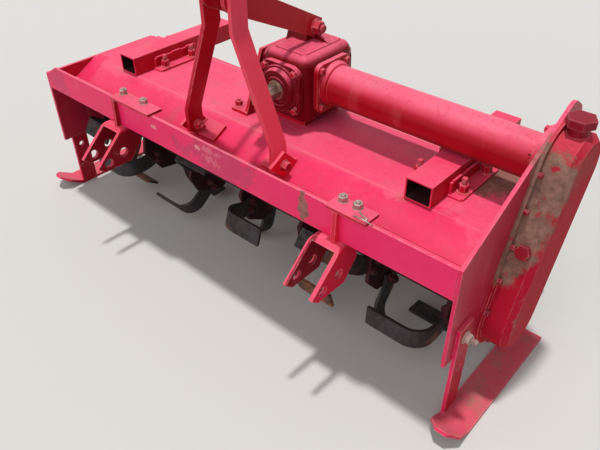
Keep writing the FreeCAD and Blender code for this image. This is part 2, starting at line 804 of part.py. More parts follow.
def make_board():
    """The curved levelling board, with knuckles on leaves along its top edge."""
    angle = math.radians(board_lean)
    y = hinge_y
    z = hinge_z - hinge_knuckle - hinge_leaf_gap
    line = [(y, z)]
    step = board_length / board_facets
    for _ in range(board_facets):
        y += step * math.sin(angle)
        z -= step * math.cos(angle)
        line.append((y, z))
        angle += step / board_curve_radius
    angle += math.radians(board_lip_turn)
    line.append((y + board_lip * math.sin(angle), z - board_lip * math.cos(angle)))
    board = bent_sheet(line, board_thickness, left_x + board_side_gap, right_x - board_side_gap)
    half = hinge_knuckle_length / 2
    for x in hinge_places:
        knuckle = rod_x(hinge_knuckle, x - half, x + half, hinge_y, hinge_z)
        leaf = block(x - half, x + half, hinge_y - board_thickness, hinge_y + board_thickness,
                     hinge_z - hinge_leaf, hinge_z)
        board = board.fuse([knuckle, leaf])
        bore = rod_x(hinge_rod + running_gap, x - half - beyond, x + half + beyond, hinge_y, hinge_z)
        board = board.cut(bore)
    return board


def make_board_hinge():
    """The rod that carries the board, in ears on the hood's rear lip."""
    ears = rod_x(hinge_rod, inner_left, inner_right, hinge_y, hinge_z)
    half = hinge_rod + hinge_ear_margin
    for x in hinge_places:
        for side in (-1, 1):
            near = x + side * (hinge_knuckle_length / 2 + hinge_side_gap)
            a, b = sorted((near, near + side * hinge_ear))
            ears = ears.fuse(block(a, b, deck_rear, hinge_y + half, hinge_z - half, hinge_z + half))
    return ears


def build():
    """Build every piece."""
    keep("hood_deck", make_hood())
    keep("front_rail", make_rail())
    keep("left_end_plate", make_left_plate())
    keep("right_end_plate", make_right_plate())
    keep("left_skid", make_skid(left_x, -1))
    keep("right_skid", make_skid(right_x, 1))
    clamps = {"left": (left_clamp_shift, left_clamp_length), "right": (right_clamp_shift, right_clamp_length)}
    for name, side in (("left", -1), ("right", 1)):
        beam_x = hood_offset + side * (hood_width / 2 - beam_inset)
        keep(name + "_beam", make_beam(beam_x))
        keep(name + "_beam_feet", make_beam_feet(beam_x))
        keep(name + "_clevis", make_clevis(side * hitch_spread))
        clamp_shift, clamp_length = clamps[name]
        keep(name + "_clamp_plate", make_clamp(side * hitch_spread + clamp_shift, clamp_length))
        keep(name + "_strut_foot", make_strut_foot(side))
        keep(name + "_strut", make_strut(side))
        keep(name + "_mast_cheek", make_mast_cheek(side))
    keep("gearbox_housing", make_gearbox())
    keep("gearbox_cradle", make_cradle())
    keep("input_cover", make_input_cover())
    keep("pto_shaft", make_pto())
    keep("drive_tube", make_drive_tube())
    keep("gear_case", make_gear_case())
    keep("filler_cap", make_filler_cap())
    keep("level_plug", make_level_plug())
    keep("left_bearing", make_left_bearing())
    keep("right_bearing", make_right_bearing())
    rotor, tines = make_rotor()
    keep("rotor_shaft", rotor)
    keep("right_hand_tines", Part.makeCompound(tines[1]))
    keep("left_hand_tines", Part.makeCompound(tines[-1]))
    keep("levelling_board", make_board())
    keep("board_hinge", make_board_hinge())


def origin_shift():
    """The move that puts the origin in the middle of the footprint, on the ground."""
    box = FreeCAD.BoundBox()
    for shape in pieces.values():
        box.add(shape.optimalBoundingBox(False))
    return V(-(box.XMin + box.XMax) / 2, -(box.YMin + box.YMax) / 2, -box.ZMin)


build()
shift = origin_shift()
os.makedirs("parts", exist_ok=True)
for name, shape in pieces.items():
    shape.translate(shift)
    shape.exportStep("parts/" + name + ".step")
    print(name, len(shape.Solids), shape.isValid(), round(shape.Volume))
print("shift", shift)
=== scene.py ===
"""Rotary tiller for a compact tractor, dressed for its looks.

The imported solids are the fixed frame. Each sub-assembly is a class that copies, bevels or rebuilds its
solids, adds the bolts, welds and castings that they stand for, and gives every piece its finish.
Metres, +Z up, +Y to the rear, +X to the machine's right.
"""

import logging
import math
from contextlib import contextmanager
from dataclasses import dataclass, field
from enum import Enum
from typing import Callable, Iterable, Iterator, Sequence

import bmesh
import bpy
from mathutils import Matrix, Vector

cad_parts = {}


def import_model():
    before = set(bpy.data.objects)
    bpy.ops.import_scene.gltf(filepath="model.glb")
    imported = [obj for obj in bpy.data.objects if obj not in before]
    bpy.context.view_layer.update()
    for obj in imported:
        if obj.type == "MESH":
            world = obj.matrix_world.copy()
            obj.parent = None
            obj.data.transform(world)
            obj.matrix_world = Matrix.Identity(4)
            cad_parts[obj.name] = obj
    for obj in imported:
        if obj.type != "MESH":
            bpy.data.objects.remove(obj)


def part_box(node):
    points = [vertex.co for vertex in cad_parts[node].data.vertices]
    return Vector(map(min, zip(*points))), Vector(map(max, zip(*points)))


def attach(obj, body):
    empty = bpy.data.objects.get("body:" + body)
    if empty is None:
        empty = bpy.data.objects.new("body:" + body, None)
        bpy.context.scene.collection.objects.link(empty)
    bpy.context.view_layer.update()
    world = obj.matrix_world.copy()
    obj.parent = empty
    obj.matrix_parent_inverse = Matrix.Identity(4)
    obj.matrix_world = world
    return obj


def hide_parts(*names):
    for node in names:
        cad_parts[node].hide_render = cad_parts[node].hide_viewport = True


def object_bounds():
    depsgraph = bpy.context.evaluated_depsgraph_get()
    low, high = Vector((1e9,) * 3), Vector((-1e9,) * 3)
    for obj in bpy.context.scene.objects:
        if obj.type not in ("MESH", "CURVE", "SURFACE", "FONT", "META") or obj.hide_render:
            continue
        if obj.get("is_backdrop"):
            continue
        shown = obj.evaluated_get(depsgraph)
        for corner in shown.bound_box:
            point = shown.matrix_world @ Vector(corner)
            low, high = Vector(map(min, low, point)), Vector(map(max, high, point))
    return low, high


Colour = tuple[float, float, float, float]
Point = tuple[float, float, float]
Test = Callable[[Vector, Vector], bool]

UP = (0.0, 0.0, 1.0)

log = logging.getLogger("tiller")


class Slot(Enum):
    """The record's material slots."""

    RED = "red_paint"
    CAST = "cast_paint"
    WORN = "worn_paint"
    TINE = "tine_steel"
    SHAFT = "shaft_steel"
    FASTENER = "fastener_steel"


class Body(Enum):
    """The bodies that pieces ride on."""

    FRAME = "frame"
    ROTOR = "rotor"
    INPUT = "input_shaft"
    BOARD = "board"


def tone(red: int, green: int, blue: int) -> Colour:
    """A colour from its screen values.

    Args:
        red: The red value, 0 to 255.
        green: The green value, 0 to 255.
        blue: The blue value, 0 to 255.

    Returns:
        The linear colour that a shader socket takes.
    """
    values = []
    for value in (red, green, blue):
        share = value / 255
        values.append(share / 12.92 if share <= 0.04045 else ((share + 0.055) / 1.055) ** 2.4)
    return (values[0], values[1], values[2], 1.0)


class Graph:
    """One material's nodes, with a call for each kind that the finishes use."""

    def __init__(self, name: str) -> None:
        """Start a material with its surface shader."""
        self.material = bpy.data.materials.new(name)
        self.material.use_nodes = True
        self.tree = self.material.node_tree
        self.tree.nodes.clear()
        output = self.node("ShaderNodeOutputMaterial")
        self.shader = self.node("ShaderNodeBsdfPrincipled")
        self.tree.links.new(self.shader.outputs["BSDF"], output.inputs["Surface"])
        coordinates = self.node("ShaderNodeTexCoord")
        self.place = coordinates.outputs["Object"]
        self.facing = coordinates.outputs["Normal"]
        self.noises: dict[tuple, bpy.types.NodeSocket] = {}

    def node(self, kind: str, **settings: object) -> bpy.types.Node:
        """Add a node and give it its settings.

        Args:
            kind: The node's type name.
            settings: The node's own properties.

        Returns:
            The new node.
        """
        made = self.tree.nodes.new(kind)
        for key, value in settings.items():
            setattr(made, key, value)
        return made

    def feed(self, socket: bpy.types.NodeSocket, value: object) -> None:
        """Link a socket to another, or set its value."""
        if isinstance(value, bpy.types.NodeSocket):
            self.tree.links.new(value, socket)
        else:
            socket.default_value = value

    def sum(self, first: object, second: object) -> bpy.types.NodeSocket:
        """Two values added."""
        return self.sums("ADD", first, second)

    def times(self, first: object, second: object) -> bpy.types.NodeSocket:
        """Two values multiplied."""
        return self.sums("MULTIPLY", first, second)

    def sums(self, operation: str, first: object, second: object) -> bpy.types.NodeSocket:
        """A sum of two values.

        Args:
            operation: The math node's operation.
            first: A socket or a number.
            second: A socket or a number.

        Returns:
            The result's socket.
        """
        made = self.node("ShaderNodeMath", operation=operation)
        self.feed(made.inputs[0], first)
        self.feed(made.inputs[1], second)
        return made.outputs[0]

    def vector(self, operation: str, first: object, second: object) -> bpy.types.Node:
        """A vector sum's node.

        Args:
            operation: The vector math node's operation.
            first: A socket or a vector.
            second: A socket or a vector.

        Returns:
            The node.
        """
        made = self.node("ShaderNodeVectorMath", operation=operation)
        self.feed(made.inputs[0], first)
        self.feed(made.inputs[1], second)
        return made

    def noise(self, scale: float, detail: float = 3.0, rough: float = 0.55,
              stretch: Point = (1.0, 1.0, 1.0)) -> bpy.types.NodeSocket:
        """Noise over the piece's own place.

        Args:
            scale: Waves in a metre.
            detail: How many finer layers it has.
            rough: How strong the finer layers are.
            stretch: The pattern's scale along each axis.

        Returns:
            The noise's value, about 0.5.
        """
        key = (scale, detail, rough, stretch)
        if key in self.noises:
            return self.noises[key]
        place = self.place
        if stretch != (1.0, 1.0, 1.0):
            mapping = self.node("ShaderNodeMapping")
            self.feed(mapping.inputs["Vector"], place)
            mapping.inputs["Scale"].default_value = stretch
            place = mapping.outputs["Vector"]
        made = self.node("ShaderNodeTexNoise")
        self.feed(made.inputs["Vector"], place)
        made.inputs["Scale"].default_value = scale
        made.inputs["Detail"].default_value = detail
        made.inputs["Roughness"].default_value = rough
        self.noises[key] = made.outputs["Fac"]
        return made.outputs["Fac"]

    def spread(self, value: object, low: float, high: float, first: float = 0.0,
               last: float = 1.0) -> bpy.types.NodeSocket:
        """A value's range eased to another.

        Args:
            value: The socket to read.
            low: The value that gives first.
            high: The value that gives last.
            first: The result at low.
            last: The result at high.

        Returns:
            The result's socket.
        """
        made = self.node("ShaderNodeMapRange", interpolation_type="SMOOTHSTEP")
        self.feed(made.inputs["Value"], value)
        made.inputs["From Min"].default_value = low
        made.inputs["From Max"].default_value = high
        made.inputs["To Min"].default_value = first
        made.inputs["To Max"].default_value = last
        return made.outputs["Result"]

    def blend(self, share: object, first: object, second: object) -> bpy.types.NodeSocket:
        """Two colours mixed.

        Args:
            share: How much of the second, 0 to 1.
            first: The colour at 0.
            second: The colour at 1.

        Returns:
            The mixed colour's socket.
        """
        made = self.node("ShaderNodeMix", data_type="RGBA")
        self.feed(made.inputs[0], share)
        self.feed(made.inputs[6], first)
        self.feed(made.inputs[7], second)
        return made.outputs[2]

    def looking(self, way: Point, low: float, high: float) -> bpy.types.NodeSocket:
        """How much a surface looks a way, eased between two shares.

        Args:
            way: The way.
            low: The share that gives 0.
            high: The share that gives 1.

        Returns:
            The eased share's socket.
        """
        dot = self.vector("DOT_PRODUCT", self.facing, Vector(way).normalized())
        return self.spread(dot.outputs["Value"], low, high)

    def edges(self, reach: float, low: float = 0.015, high: float = 0.2) -> bpy.types.NodeSocket:
        """How near a surface is to a hard edge.

        Args:
            reach: How far from the edge it starts.
            low: The bend at which it starts.
            high: The bend at which it is full.

        Returns:
            The share, 0 to 1.
        """
        rounded = self.node("ShaderNodeBevel", samples=4)
        rounded.inputs["Radius"].default_value = reach
        flat = self.node("ShaderNodeNewGeometry")
        dot = self.vector("DOT_PRODUCT", rounded.outputs["Normal"], flat.outputs["Normal"])
        return self.spread(self.sums("SUBTRACT", 1.0, dot.outputs["Value"]), low, high)

    def within(self, patch: "Patch") -> bpy.types.NodeSocket:
        """How far inside a patch a place is.

        Args:
            patch: The region.

        Returns:
            Its strength at the middle, falling to 0 at its broken rim.
        """
        away = self.vector("SUBTRACT", self.place, patch.centre)
        scaled = self.vector("DIVIDE", away.outputs[0], patch.reach)
        length = self.node("ShaderNodeVectorMath", operation="LENGTH")
        self.feed(length.inputs[0], scaled.outputs[0])
        ragged = self.sum(length.outputs["Value"], self.spread(self.noise(patch.grain, 5.0, 0.65), 0.3, 0.7,
                                                               -patch.ragged, patch.ragged))
        return self.spread(ragged, 1.05, 0.8, 0.0, patch.strength)

    def cover(self, patches: Sequence["Patch"]) -> bpy.types.NodeSocket:
        """The strongest of several patches at a place."""
        total = self.within(patches[0])
        for patch in patches[1:]:
            total = self.sums("MAXIMUM", total, self.within(patch))
        return total

    def bump(self, height: object, depth: float, strength: float = 1.0) -> None:
        """Raise the surface by a height.

        Args:
            height: The socket that gives the height, 0 to 1.
            depth: The metres that a height of 1 stands for.
            strength: The share that shows.
        """
        made = self.node("ShaderNodeBump")
        made.inputs["Distance"].default_value = depth
        made.inputs["Strength"].default_value = strength
        self.feed(made.inputs["Height"], height)
        self.tree.links.new(made.outputs["Normal"], self.shader.inputs["Normal"])


@dataclass(frozen=True)
class Patch:
    """A region with a ragged rim, as an ellipsoid in the machine's frame."""

    centre: Point
    reach: Point
    strength: float = 1.0
    ragged: float = 0.35
    grain: float = 22.0


@dataclass(frozen=True)
class Paint:
    """Weathered gloss paint with painted light and shade: its base tone where it looks the lit way and a darker
    painted-shade tone on its other sides, lighter on top for painted top light and bleaching, worn at its edges,
    chipped, dusty and muddy.
    """

    name: str
    base: Colour = tone(238, 34, 98)
    # The top tone: paint bleached by sunlight, and painted top light
    lit_and_faded: Colour = tone(242, 100, 132)
    # deep: the painted-shade tone of faces turned from the lit way, also the darker tone of the random mottle
    deep: Colour = tone(180, 18, 42)
    worn: Colour = tone(236, 142, 152)
    rust: Colour = tone(104, 52, 48)
    dust: Colour = tone(160, 120, 108)
    soil: Colour = tone(120, 90, 79)
    under_soil: Colour = tone(96, 58, 50)
    # Tone of the painted shade patches
    shade_tone: Colour = tone(176, 62, 100)
    # The way a face looks to show the base tone as painted light; the other sides get the painted shade
    lit_way: Point = (0.0, -0.55, 0.83)
    # How far the top is painted lighter, for bleaching and painted top light
    light_and_fade: float = 0.7
    wear: float = 0.75
    chips: float = 0.35
    dusting: float = 0.25
    gloss: float = 0.36
    sheen: float = 0.19
    grain: float = 0.00012
    cast: float = 0.0
    under: float = 0.7
    mud: tuple[Patch, ...] = ()
    bare: tuple[Patch, ...] = ()
    # Pale patches: worn paint, also standing for painted highlights along bends and edges
    pale: tuple[Patch, ...] = ()
    # Painted shadow and shade patches
    shade_patches: tuple[Patch, ...] = ()
    # Patches where the painted top light and bleaching are held back
    fresh: tuple[Patch, ...] = ()

    def build(self) -> bpy.types.Material:
        """Make the finish's material.

        Returns:
            The material.
        """
        g = Graph(self.name)
        up = g.looking((0, 0, 1), 0.35, 0.95)
        mottle = g.spread(g.noise(38.0, 5.0, 0.65), 0.35, 0.65)
        # Painted light and shade: base tone where the face looks the lit way, the deep tone as painted shade elsewhere
        colour = g.blend(g.looking(self.lit_way, 0.1, 0.62), self.deep, self.base)
        colour = g.blend(g.times(mottle, 0.18), colour, self.deep)
        blotch = g.spread(g.noise(4.5, 5.0, 0.6), 0.34, 0.66)
        # Painted top light with bleaching: faces that look up blend to the top tone
        top_light_and_fade = g.times(up, g.sum(g.times(blotch, 0.4), self.light_and_fade * 0.75))
        # The fresh patches hold back the painted top light
        if self.fresh:
            top_light_and_fade = g.times(top_light_and_fade, g.sums("SUBTRACT", 1.0, g.cover(self.fresh)))
        colour = g.blend(top_light_and_fade, colour, self.lit_and_faded)
        # Painted shadow and shade: the shade patches take the shade tone
        if self.shade_patches:
            colour = g.blend(g.cover(self.shade_patches), colour, self.shade_tone)
        streaks = g.spread(g.noise(16.0, 4.0, 0.6, (1.0, 1.0, 0.16)), 0.56, 0.74)
        colour = g.blend(g.times(streaks, 0.12), colour, self.worn)
        dust = g.times(g.spread(g.noise(13.0, 8.0, 0.7), 0.5, 0.72), self.dusting)
        dust = g.times(dust, g.sum(g.times(up, 0.8), 0.2))
        colour = g.blend(dust, colour, self.dust)
        scuff = g.spread(g.noise(55.0, 6.0, 0.75, (1.0, 0.5, 0.5)), 0.61, 0.66)
        scuff = g.times(scuff, g.spread(g.noise(7.0, 2.0), 0.54, 0.66))
        colour = g.blend(g.times(scuff, self.chips * 0.5), colour, self.worn)
        grit = g.times(g.spread(g.noise(105.0, 4.0, 0.7), 0.5, 0.68), g.sum(g.times(up, 0.3), 0.08))
        colour = g.blend(grit, colour, self.base)
        edge = g.times(g.edges(0.004), g.spread(g.noise(46.0, 5.0, 0.7), 0.34, 0.58))
        colour = g.blend(g.times(edge, self.wear), colour, self.worn)
        # Pale patches: worn paint and painted highlight
        if self.pale:
            colour = g.blend(g.cover(self.pale), colour, self.worn)
        fleck = g.times(g.spread(g.noise(150.0, 3.0, 0.6), 0.71, 0.74), self.chips)
        colour = g.blend(fleck, colour, self.rust)
        below = g.times(g.looking((0, 0, -1), 0.3, 0.8), self.under)
        colour = g.blend(g.times(below, g.spread(mottle, 0.0, 1.0, 0.7, 1.0)), colour, self.under_soil)
        rough = g.sum(g.times(top_light_and_fade, 0.14), self.gloss)
        rough = g.sum(rough, g.times(mottle, 0.06))
        rough = g.sum(rough, g.times(dust, 0.35))
        height = g.times(g.noise(420.0, 2.0), 0.25)
        height = g.sum(height, g.times(g.noise(9.0, 2.0), 1.4))
        height = g.sum(height, g.times(edge, -0.5))
        height = g.sum(height, g.times(fleck, -0.6))
        if self.cast:
            height = g.sum(height, g.times(g.noise(190.0, 6.0, 0.7), self.cast))
        if self.mud:
            soil = g.blend(g.spread(g.noise(60.0, 6.0, 0.7), 0.3, 0.7), self.soil, self.dust)
            holes = g.spread(g.noise(34.0, 6.0, 0.7), 0.6, 0.68, 1.0, 0.2)
            cover = g.times(g.cover(self.mud), holes)
            if self.bare:
                cover = g.times(cover, g.sums("SUBTRACT", 1.0, g.cover(self.bare)))
            colour = g.blend(cover, colour, soil)
            rough = g.sum(rough, g.times(cover, 0.45))
            height = g.sum(height, g.times(cover, g.sum(g.noise(120.0, 6.0, 0.7), 1.0)))
        g.feed(g.shader.inputs["Base Color"], colour)
        g.feed(g.shader.inputs["Roughness"], rough)
        g.shader.inputs["Specular IOR Level"].default_value = self.sheen
        g.bump(height, self.grain)
        return g.material


@dataclass(frozen=True)
class Steel:
    """Bare steel: dull metal with rust that takes over where it is least rubbed."""

    name: str
    metal: Colour = tone(150, 140, 128)
    rust: Colour = tone(104, 62, 42)
    dark: Colour = tone(52, 36, 32)
    bright: Colour = tone(158, 92, 48)
    cover: float = 0.5
    orange: float = 0.0
    shine: float = 0.45
    metallic: float = 0.9
    grain: float = 0.0003

    def build(self) -> bpy.types.Material:
        """Make the finish's material.

        Returns:
            The material.
        """
        g = Graph(self.name)
        fine = g.noise(85.0, 7.0, 0.7)
        broad = g.noise(17.0, 5.0, 0.65)
        rust = g.spread(g.sum(g.times(fine, 0.5), g.times(broad, 0.5)), 0.62 - self.cover * 0.3,
                        0.78 - self.cover * 0.3)
        edge = g.edges(0.003)
        rust = g.times(rust, g.sums("SUBTRACT", 1.0, g.times(edge, 0.45)))
        coat = g.blend(g.spread(fine, 0.36, 0.62), self.rust, self.dark)
        if self.orange:
            fresh = g.times(g.spread(g.noise(5.0, 3.0, 0.6), 0.56, 0.66), self.orange)
            coat = g.blend(fresh, coat, self.bright)
        colour = g.blend(rust, self.metal, coat)
        g.feed(g.shader.inputs["Base Color"], colour)
        g.feed(g.shader.inputs["Metallic"], g.spread(rust, 0.0, 1.0, self.metallic, 0.0))
        g.feed(g.shader.inputs["Roughness"], g.spread(rust, 0.0, 1.0, self.shine, 0.85))
        g.bump(g.sum(g.times(rust, 0.8), g.times(fine, 0.6)), self.grain)
        return g.material


@contextmanager
def editing(piece: bpy.types.Object, mode: str = "FACE") -> Iterator[None]:
    """Open a piece in edit mode with nothing selected, and close it again.

    Args:
        piece: The piece to edit.
        mode: The select mode: VERT, EDGE or FACE.

    Yields:
        Nothing.
    """
    pick([piece])
    bpy.ops.object.mode_set(mode="EDIT")
    bpy.ops.mesh.select_mode(type=mode)
    bpy.ops.mesh.select_all(action="DESELECT")
    yield
    bpy.ops.object.mode_set(mode="OBJECT")


def pick(pieces: Sequence[bpy.types.Object]) -> None:
    """Select these pieces and nothing else, the first one active."""
    bpy.ops.object.select_all(action="DESELECT")
    for piece in pieces:
        piece.select_set(True)
    bpy.context.view_layer.objects.active = pieces[0]


def choose_faces(piece: bpy.types.Object, test: Test) -> int:
    """In edit mode, select the faces that a test of middle and normal picks, and say how many."""
    mesh = bmesh.from_edit_mesh(piece.data)
    count = 0
    for face in mesh.faces:
        wanted = test(face.calc_center_median(), face.normal)
        face.select_set(wanted)
        count += wanted
    mesh.select_flush_mode()
    bmesh.update_edit_mesh(piece.data)
    return count


def choose_edges(piece: bpy.types.Object, test: Test) -> int:
    """In edit mode, select the edges that a test of middle and way picks, and say how many."""
    mesh = bmesh.from_edit_mesh(piece.data)
    count = 0
    for edge in mesh.edges:
        first, second = (vertex.co for vertex in edge.verts)
        wanted = test((first + second) / 2, (second - first).normalized())
        edge.select_set(wanted)
        count += wanted
    mesh.select_flush_mode()
    bmesh.update_edit_mesh(piece.data)
    return count


def active(name: str) -> bpy.types.Object:
    """The primitive just added, under its name."""
    piece = bpy.context.object
    piece.name = name
    piece.data.name = name
    return piece


def settle(piece: bpy.types.Object) -> bpy.types.Object:
    """Move a piece's place into its mesh."""
    pick([piece])
    bpy.ops.object.transform_apply(location=True, rotation=True, scale=True)
    return piece


def block(name: str, low: Sequence[float], high: Sequence[float]) -> bpy.types.Object:
    """A cube added at its size and place, to be shaped on.

    Args:
        name: The piece's name.
        low: Its lowest corner.
        high: Its highest corner.

    Returns:
        The piece.
    """
    size = Vector(high) - Vector(low)
    bpy.ops.object.select_all(action="DESELECT")
    bpy.ops.mesh.primitive_cube_add(size=1.0, location=(Vector(high) + Vector(low)) / 2)
    piece = active(name)
    piece.scale = size
    return settle(piece)


def turned(name: str, start: Sequence[float], way: Sequence[float], steps: Sequence[tuple[float, float]],
           sides: int = 48) -> bpy.types.Object:
    """A turned piece: a disc extruded and widened step by step, as on a lathe.

    Args:
        name: The piece's name.
        start: The middle of its first face.
        way: The axis.
        steps: The way along the axis and the radius at each step.
        sides: How many sides the rounds have.

    Returns:
        The piece.
    """
    axis = Vector(way).normalized()
    first = Vector(start) + axis * steps[0][0]
    turn = axis.to_track_quat("Z", "Y").to_euler()
    bpy.ops.object.select_all(action="DESELECT")
    bpy.ops.mesh.primitive_circle_add(vertices=sides, radius=steps[0][1], fill_type="NGON", location=first,
                                      rotation=turn)
    piece = settle(active(name))
    with editing(piece):
        bpy.ops.mesh.select_all(action="SELECT")
        at, radius = steps[0]
        for along, wide in steps[1:]:
            middle = Vector(start) + axis * along
            bpy.ops.mesh.extrude_region_move(TRANSFORM_OT_translate={"value": axis * (along - at)})
            share = wide / radius
            if abs(share - 1) > 1e-6:
                bpy.ops.transform.resize(value=(share, share, share), center_override=middle)
            at, radius = along, wide
        bpy.ops.mesh.select_all(action="SELECT")
        bpy.ops.mesh.normals_make_consistent(inside=False)
    return piece


def round_off(piece: bpy.types.Object, width: float, segments: int = 2, angle: float = 32.0) -> bpy.types.Object:
    """Bevel a piece's hard edges and shade it smooth between them.

    Args:
        piece: The piece.
        width: The bevel's width.
        segments: How many faces round the bevel.
        angle: The bend, in degrees, past which an edge is hard.

    Returns:
        The piece.
    """
    pick([piece])
    bevel = piece.modifiers.new("bevel", "BEVEL")
    bevel.width = width
    bevel.segments = segments
    bevel.limit_method = "ANGLE"
    bevel.angle_limit = math.radians(angle)
    bevel.use_clamp_overlap = True
    bpy.ops.object.modifier_apply(modifier=bevel.name)
    bpy.ops.object.shade_smooth_by_angle(angle=math.radians(angle + 8))
    weighted = piece.modifiers.new("weighted", "WEIGHTED_NORMAL")
    weighted.keep_sharp = True
    bpy.ops.object.modifier_apply(modifier=weighted.name)
    return piece


def join(name: str, pieces: Sequence[bpy.types.Object]) -> bpy.types.Object:
    """Make several pieces one."""
    pick(pieces)
    if len(pieces) > 1:
        bpy.ops.object.join()
    return active(name)


def copy_at(model: bpy.types.Object, place: Sequence[float], way: Sequence[float],
            spin: float = 0.0) -> bpy.types.Object:
    """A copy of a piece modelled at the origin up +Z, with its own mesh.

    Args:
        model: The piece.
        place: Where its foot goes.
        way: The way its +Z goes.
        spin: Its turn about that way, in degrees.

    Returns:
        The copy.
    """
    copy = bpy.data.objects.new(model.name + "_copy", model.data.copy())
    bpy.context.scene.collection.objects.link(copy)
    turn = Vector(way).normalized().to_track_quat("Z", "Y").to_matrix().to_4x4()
    copy.data.transform(Matrix.Translation(Vector(place)) @ turn @ Matrix.Rotation(math.radians(spin), 4, "Z"))
    return copy


def spread_out(name: str, model: bpy.types.Object,
               places: Iterable[tuple[Sequence[float], Sequence[float], float]]) -> bpy.types.Object:
    """One piece of copies of a model at several places, and the model put away."""
    piece = join(name, [copy_at(model, place, way, spin) for place, way, spin in places])
    bpy.data.objects.remove(model)
    return piece


def node_copy(name: str, node: str) -> bpy.types.Object:
    """A merged copy of a CAD node's mesh, with its flat faces whole.

    Args:
        name: The copy's name.
        node: The node.

    Returns:
        The copy.
    """
    piece = bpy.data.objects.new(name, bpy.data.objects[node].data.copy())
    piece.data.name = name
    piece.data.materials.clear()
    bpy.context.scene.collection.objects.link(piece)
    with editing(piece):
        bpy.ops.mesh.select_all(action="SELECT")
        bpy.ops.mesh.remove_doubles(threshold=0.00002)
        bpy.ops.mesh.dissolve_limited(angle_limit=math.radians(0.6))
    return piece


def show(piece: bpy.types.Object, finish: bpy.types.Material, body: Body = Body.FRAME,
         nodes: Sequence[str] = ()) -> bpy.types.Object:
    """Give a finished piece its finish and its body, and hide the CAD nodes that it stands for.

    Args:
        piece: The piece.
        finish: Its material.
        body: The body that it moves with.
        nodes: The CAD nodes that it replaces.

    Returns:
        The piece.
    """
    piece.data.materials.clear()
    piece.data.materials.append(finish)
    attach(piece, body.value)
    if nodes:
        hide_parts(*nodes)
    log.info("%s: %d faces, on %s", piece.name, len(piece.data.polygons), body.value)
    return piece


def weld(name: str, points: Sequence[Sequence[float]], radius: float = 0.0035) -> bpy.types.Object:
    """A weld bead along a line: a rod with ripples in it.

    Args:
        name: The piece's name.
        points: The corners of its line.
        radius: The bead's radius.

    Returns:
        The piece.
    """
    step = radius * 0.9
    rods = []
    for first, last in zip(points, points[1:]):
        start = Vector(first)
        way = Vector(last) - start
        count = max(2, int(way.length / step))
        steps = []
        for index in range(count + 1):
            swell = 1.0 + (0.16 if index % 2 else -0.12) + 0.1 * math.sin(index * 1.7)
            steps.append((way.length * index / count, radius * swell))
        rods.append(turned(name, start, way, steps, 8))
    piece = join(name, rods)
    pick([piece])
    bpy.ops.object.shade_smooth()
    return piece


@dataclass(frozen=True)
class Bolt:
    """A hexagonal bolt or a stud with a nut, on a washer."""

    across: float = 0.019
    head: float = 0.008
    washer: float = 0.014
    washer_thickness: float = 0.002
    stud: float = 0.0055
    stud_length: float = 0.0

    def model(self, name: str) -> bpy.types.Object:
        """Model the bolt at the origin, up +Z.

        Args:
            name: The piece's name.

        Returns:
            The piece.
        """
        corner = self.across / math.sqrt(3)
        foot = self.washer_thickness
        parts = [turned(name, (0, 0, 0), UP, [(0, self.washer), (foot * 0.6, self.washer),
                                             (foot, self.washer * 0.94)], 24)]
        head = turned(name, (0, 0, 0), UP, [(foot, corner), (foot + self.head * 0.86, corner),
                                           (foot + self.head, corner * 0.87)], 6)
        parts.append(head)
        top = foot + self.head
        if self.stud_length:
            steps = [(top - 0.001, self.stud)]
            pitch = 0.0018
            along = top
            while along < top + self.stud_length - pitch:
                steps.append((along, self.stud * 0.86))
                steps.append((along + pitch / 2, self.stud))
                along += pitch
            steps.append((top + self.stud_length, self.stud * 0.8))
            parts.append(turned(name, (0, 0, 0), UP, steps, 14))
        else:
            parts.append(turned(name, (0, 0, 0), UP, [(top, corner * 0.8), (top + 0.0004, corner * 0.76)], 24))
        piece = join(name, parts)
        pick([piece])
        bpy.ops.object.shade_smooth_by_angle(angle=math.radians(28))
        return piece


@dataclass(frozen=True)
class Datum:
    """The machine's own lines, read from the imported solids."""

    hitch_x: float
    rail_y: float
    rail_z: float
    rail_foot: float
    deck_z: float
    deck_rear: float
    left: float
    right: float
    plate: float
    gearbox_x: float
    shaft: Vector
    rotor: Vector

    @classmethod
    def read(cls) -> "Datum":
        """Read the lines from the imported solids."""
        rail_low, rail_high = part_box("front_rail")
        deck_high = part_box("hood_deck")[1]
        left_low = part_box("left_clevis")[0]
        right_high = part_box("right_clevis")[1]
        cover_low, cover_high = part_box("input_cover")
        tube_low, tube_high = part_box("drive_tube")
        bearing_low, bearing_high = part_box("left_bearing")
        plate_low, plate_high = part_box("left_end_plate")
        return cls(hitch_x=(left_low.x + right_high.x) / 2, rail_y=rail_low.y, rail_z=rail_high.z,
                   rail_foot=rail_low.z, deck_z=deck_high.z, deck_rear=deck_high.y,
                   left=plate_low.x, right=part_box("right_end_plate")[1].x, plate=plate_high.x - plate_low.x,
                   gearbox_x=(cover_low.x + cover_high.x) / 2, shaft=(tube_low + tube_high) / 2,
                   rotor=(bearing_low + bearing_high) / 2)


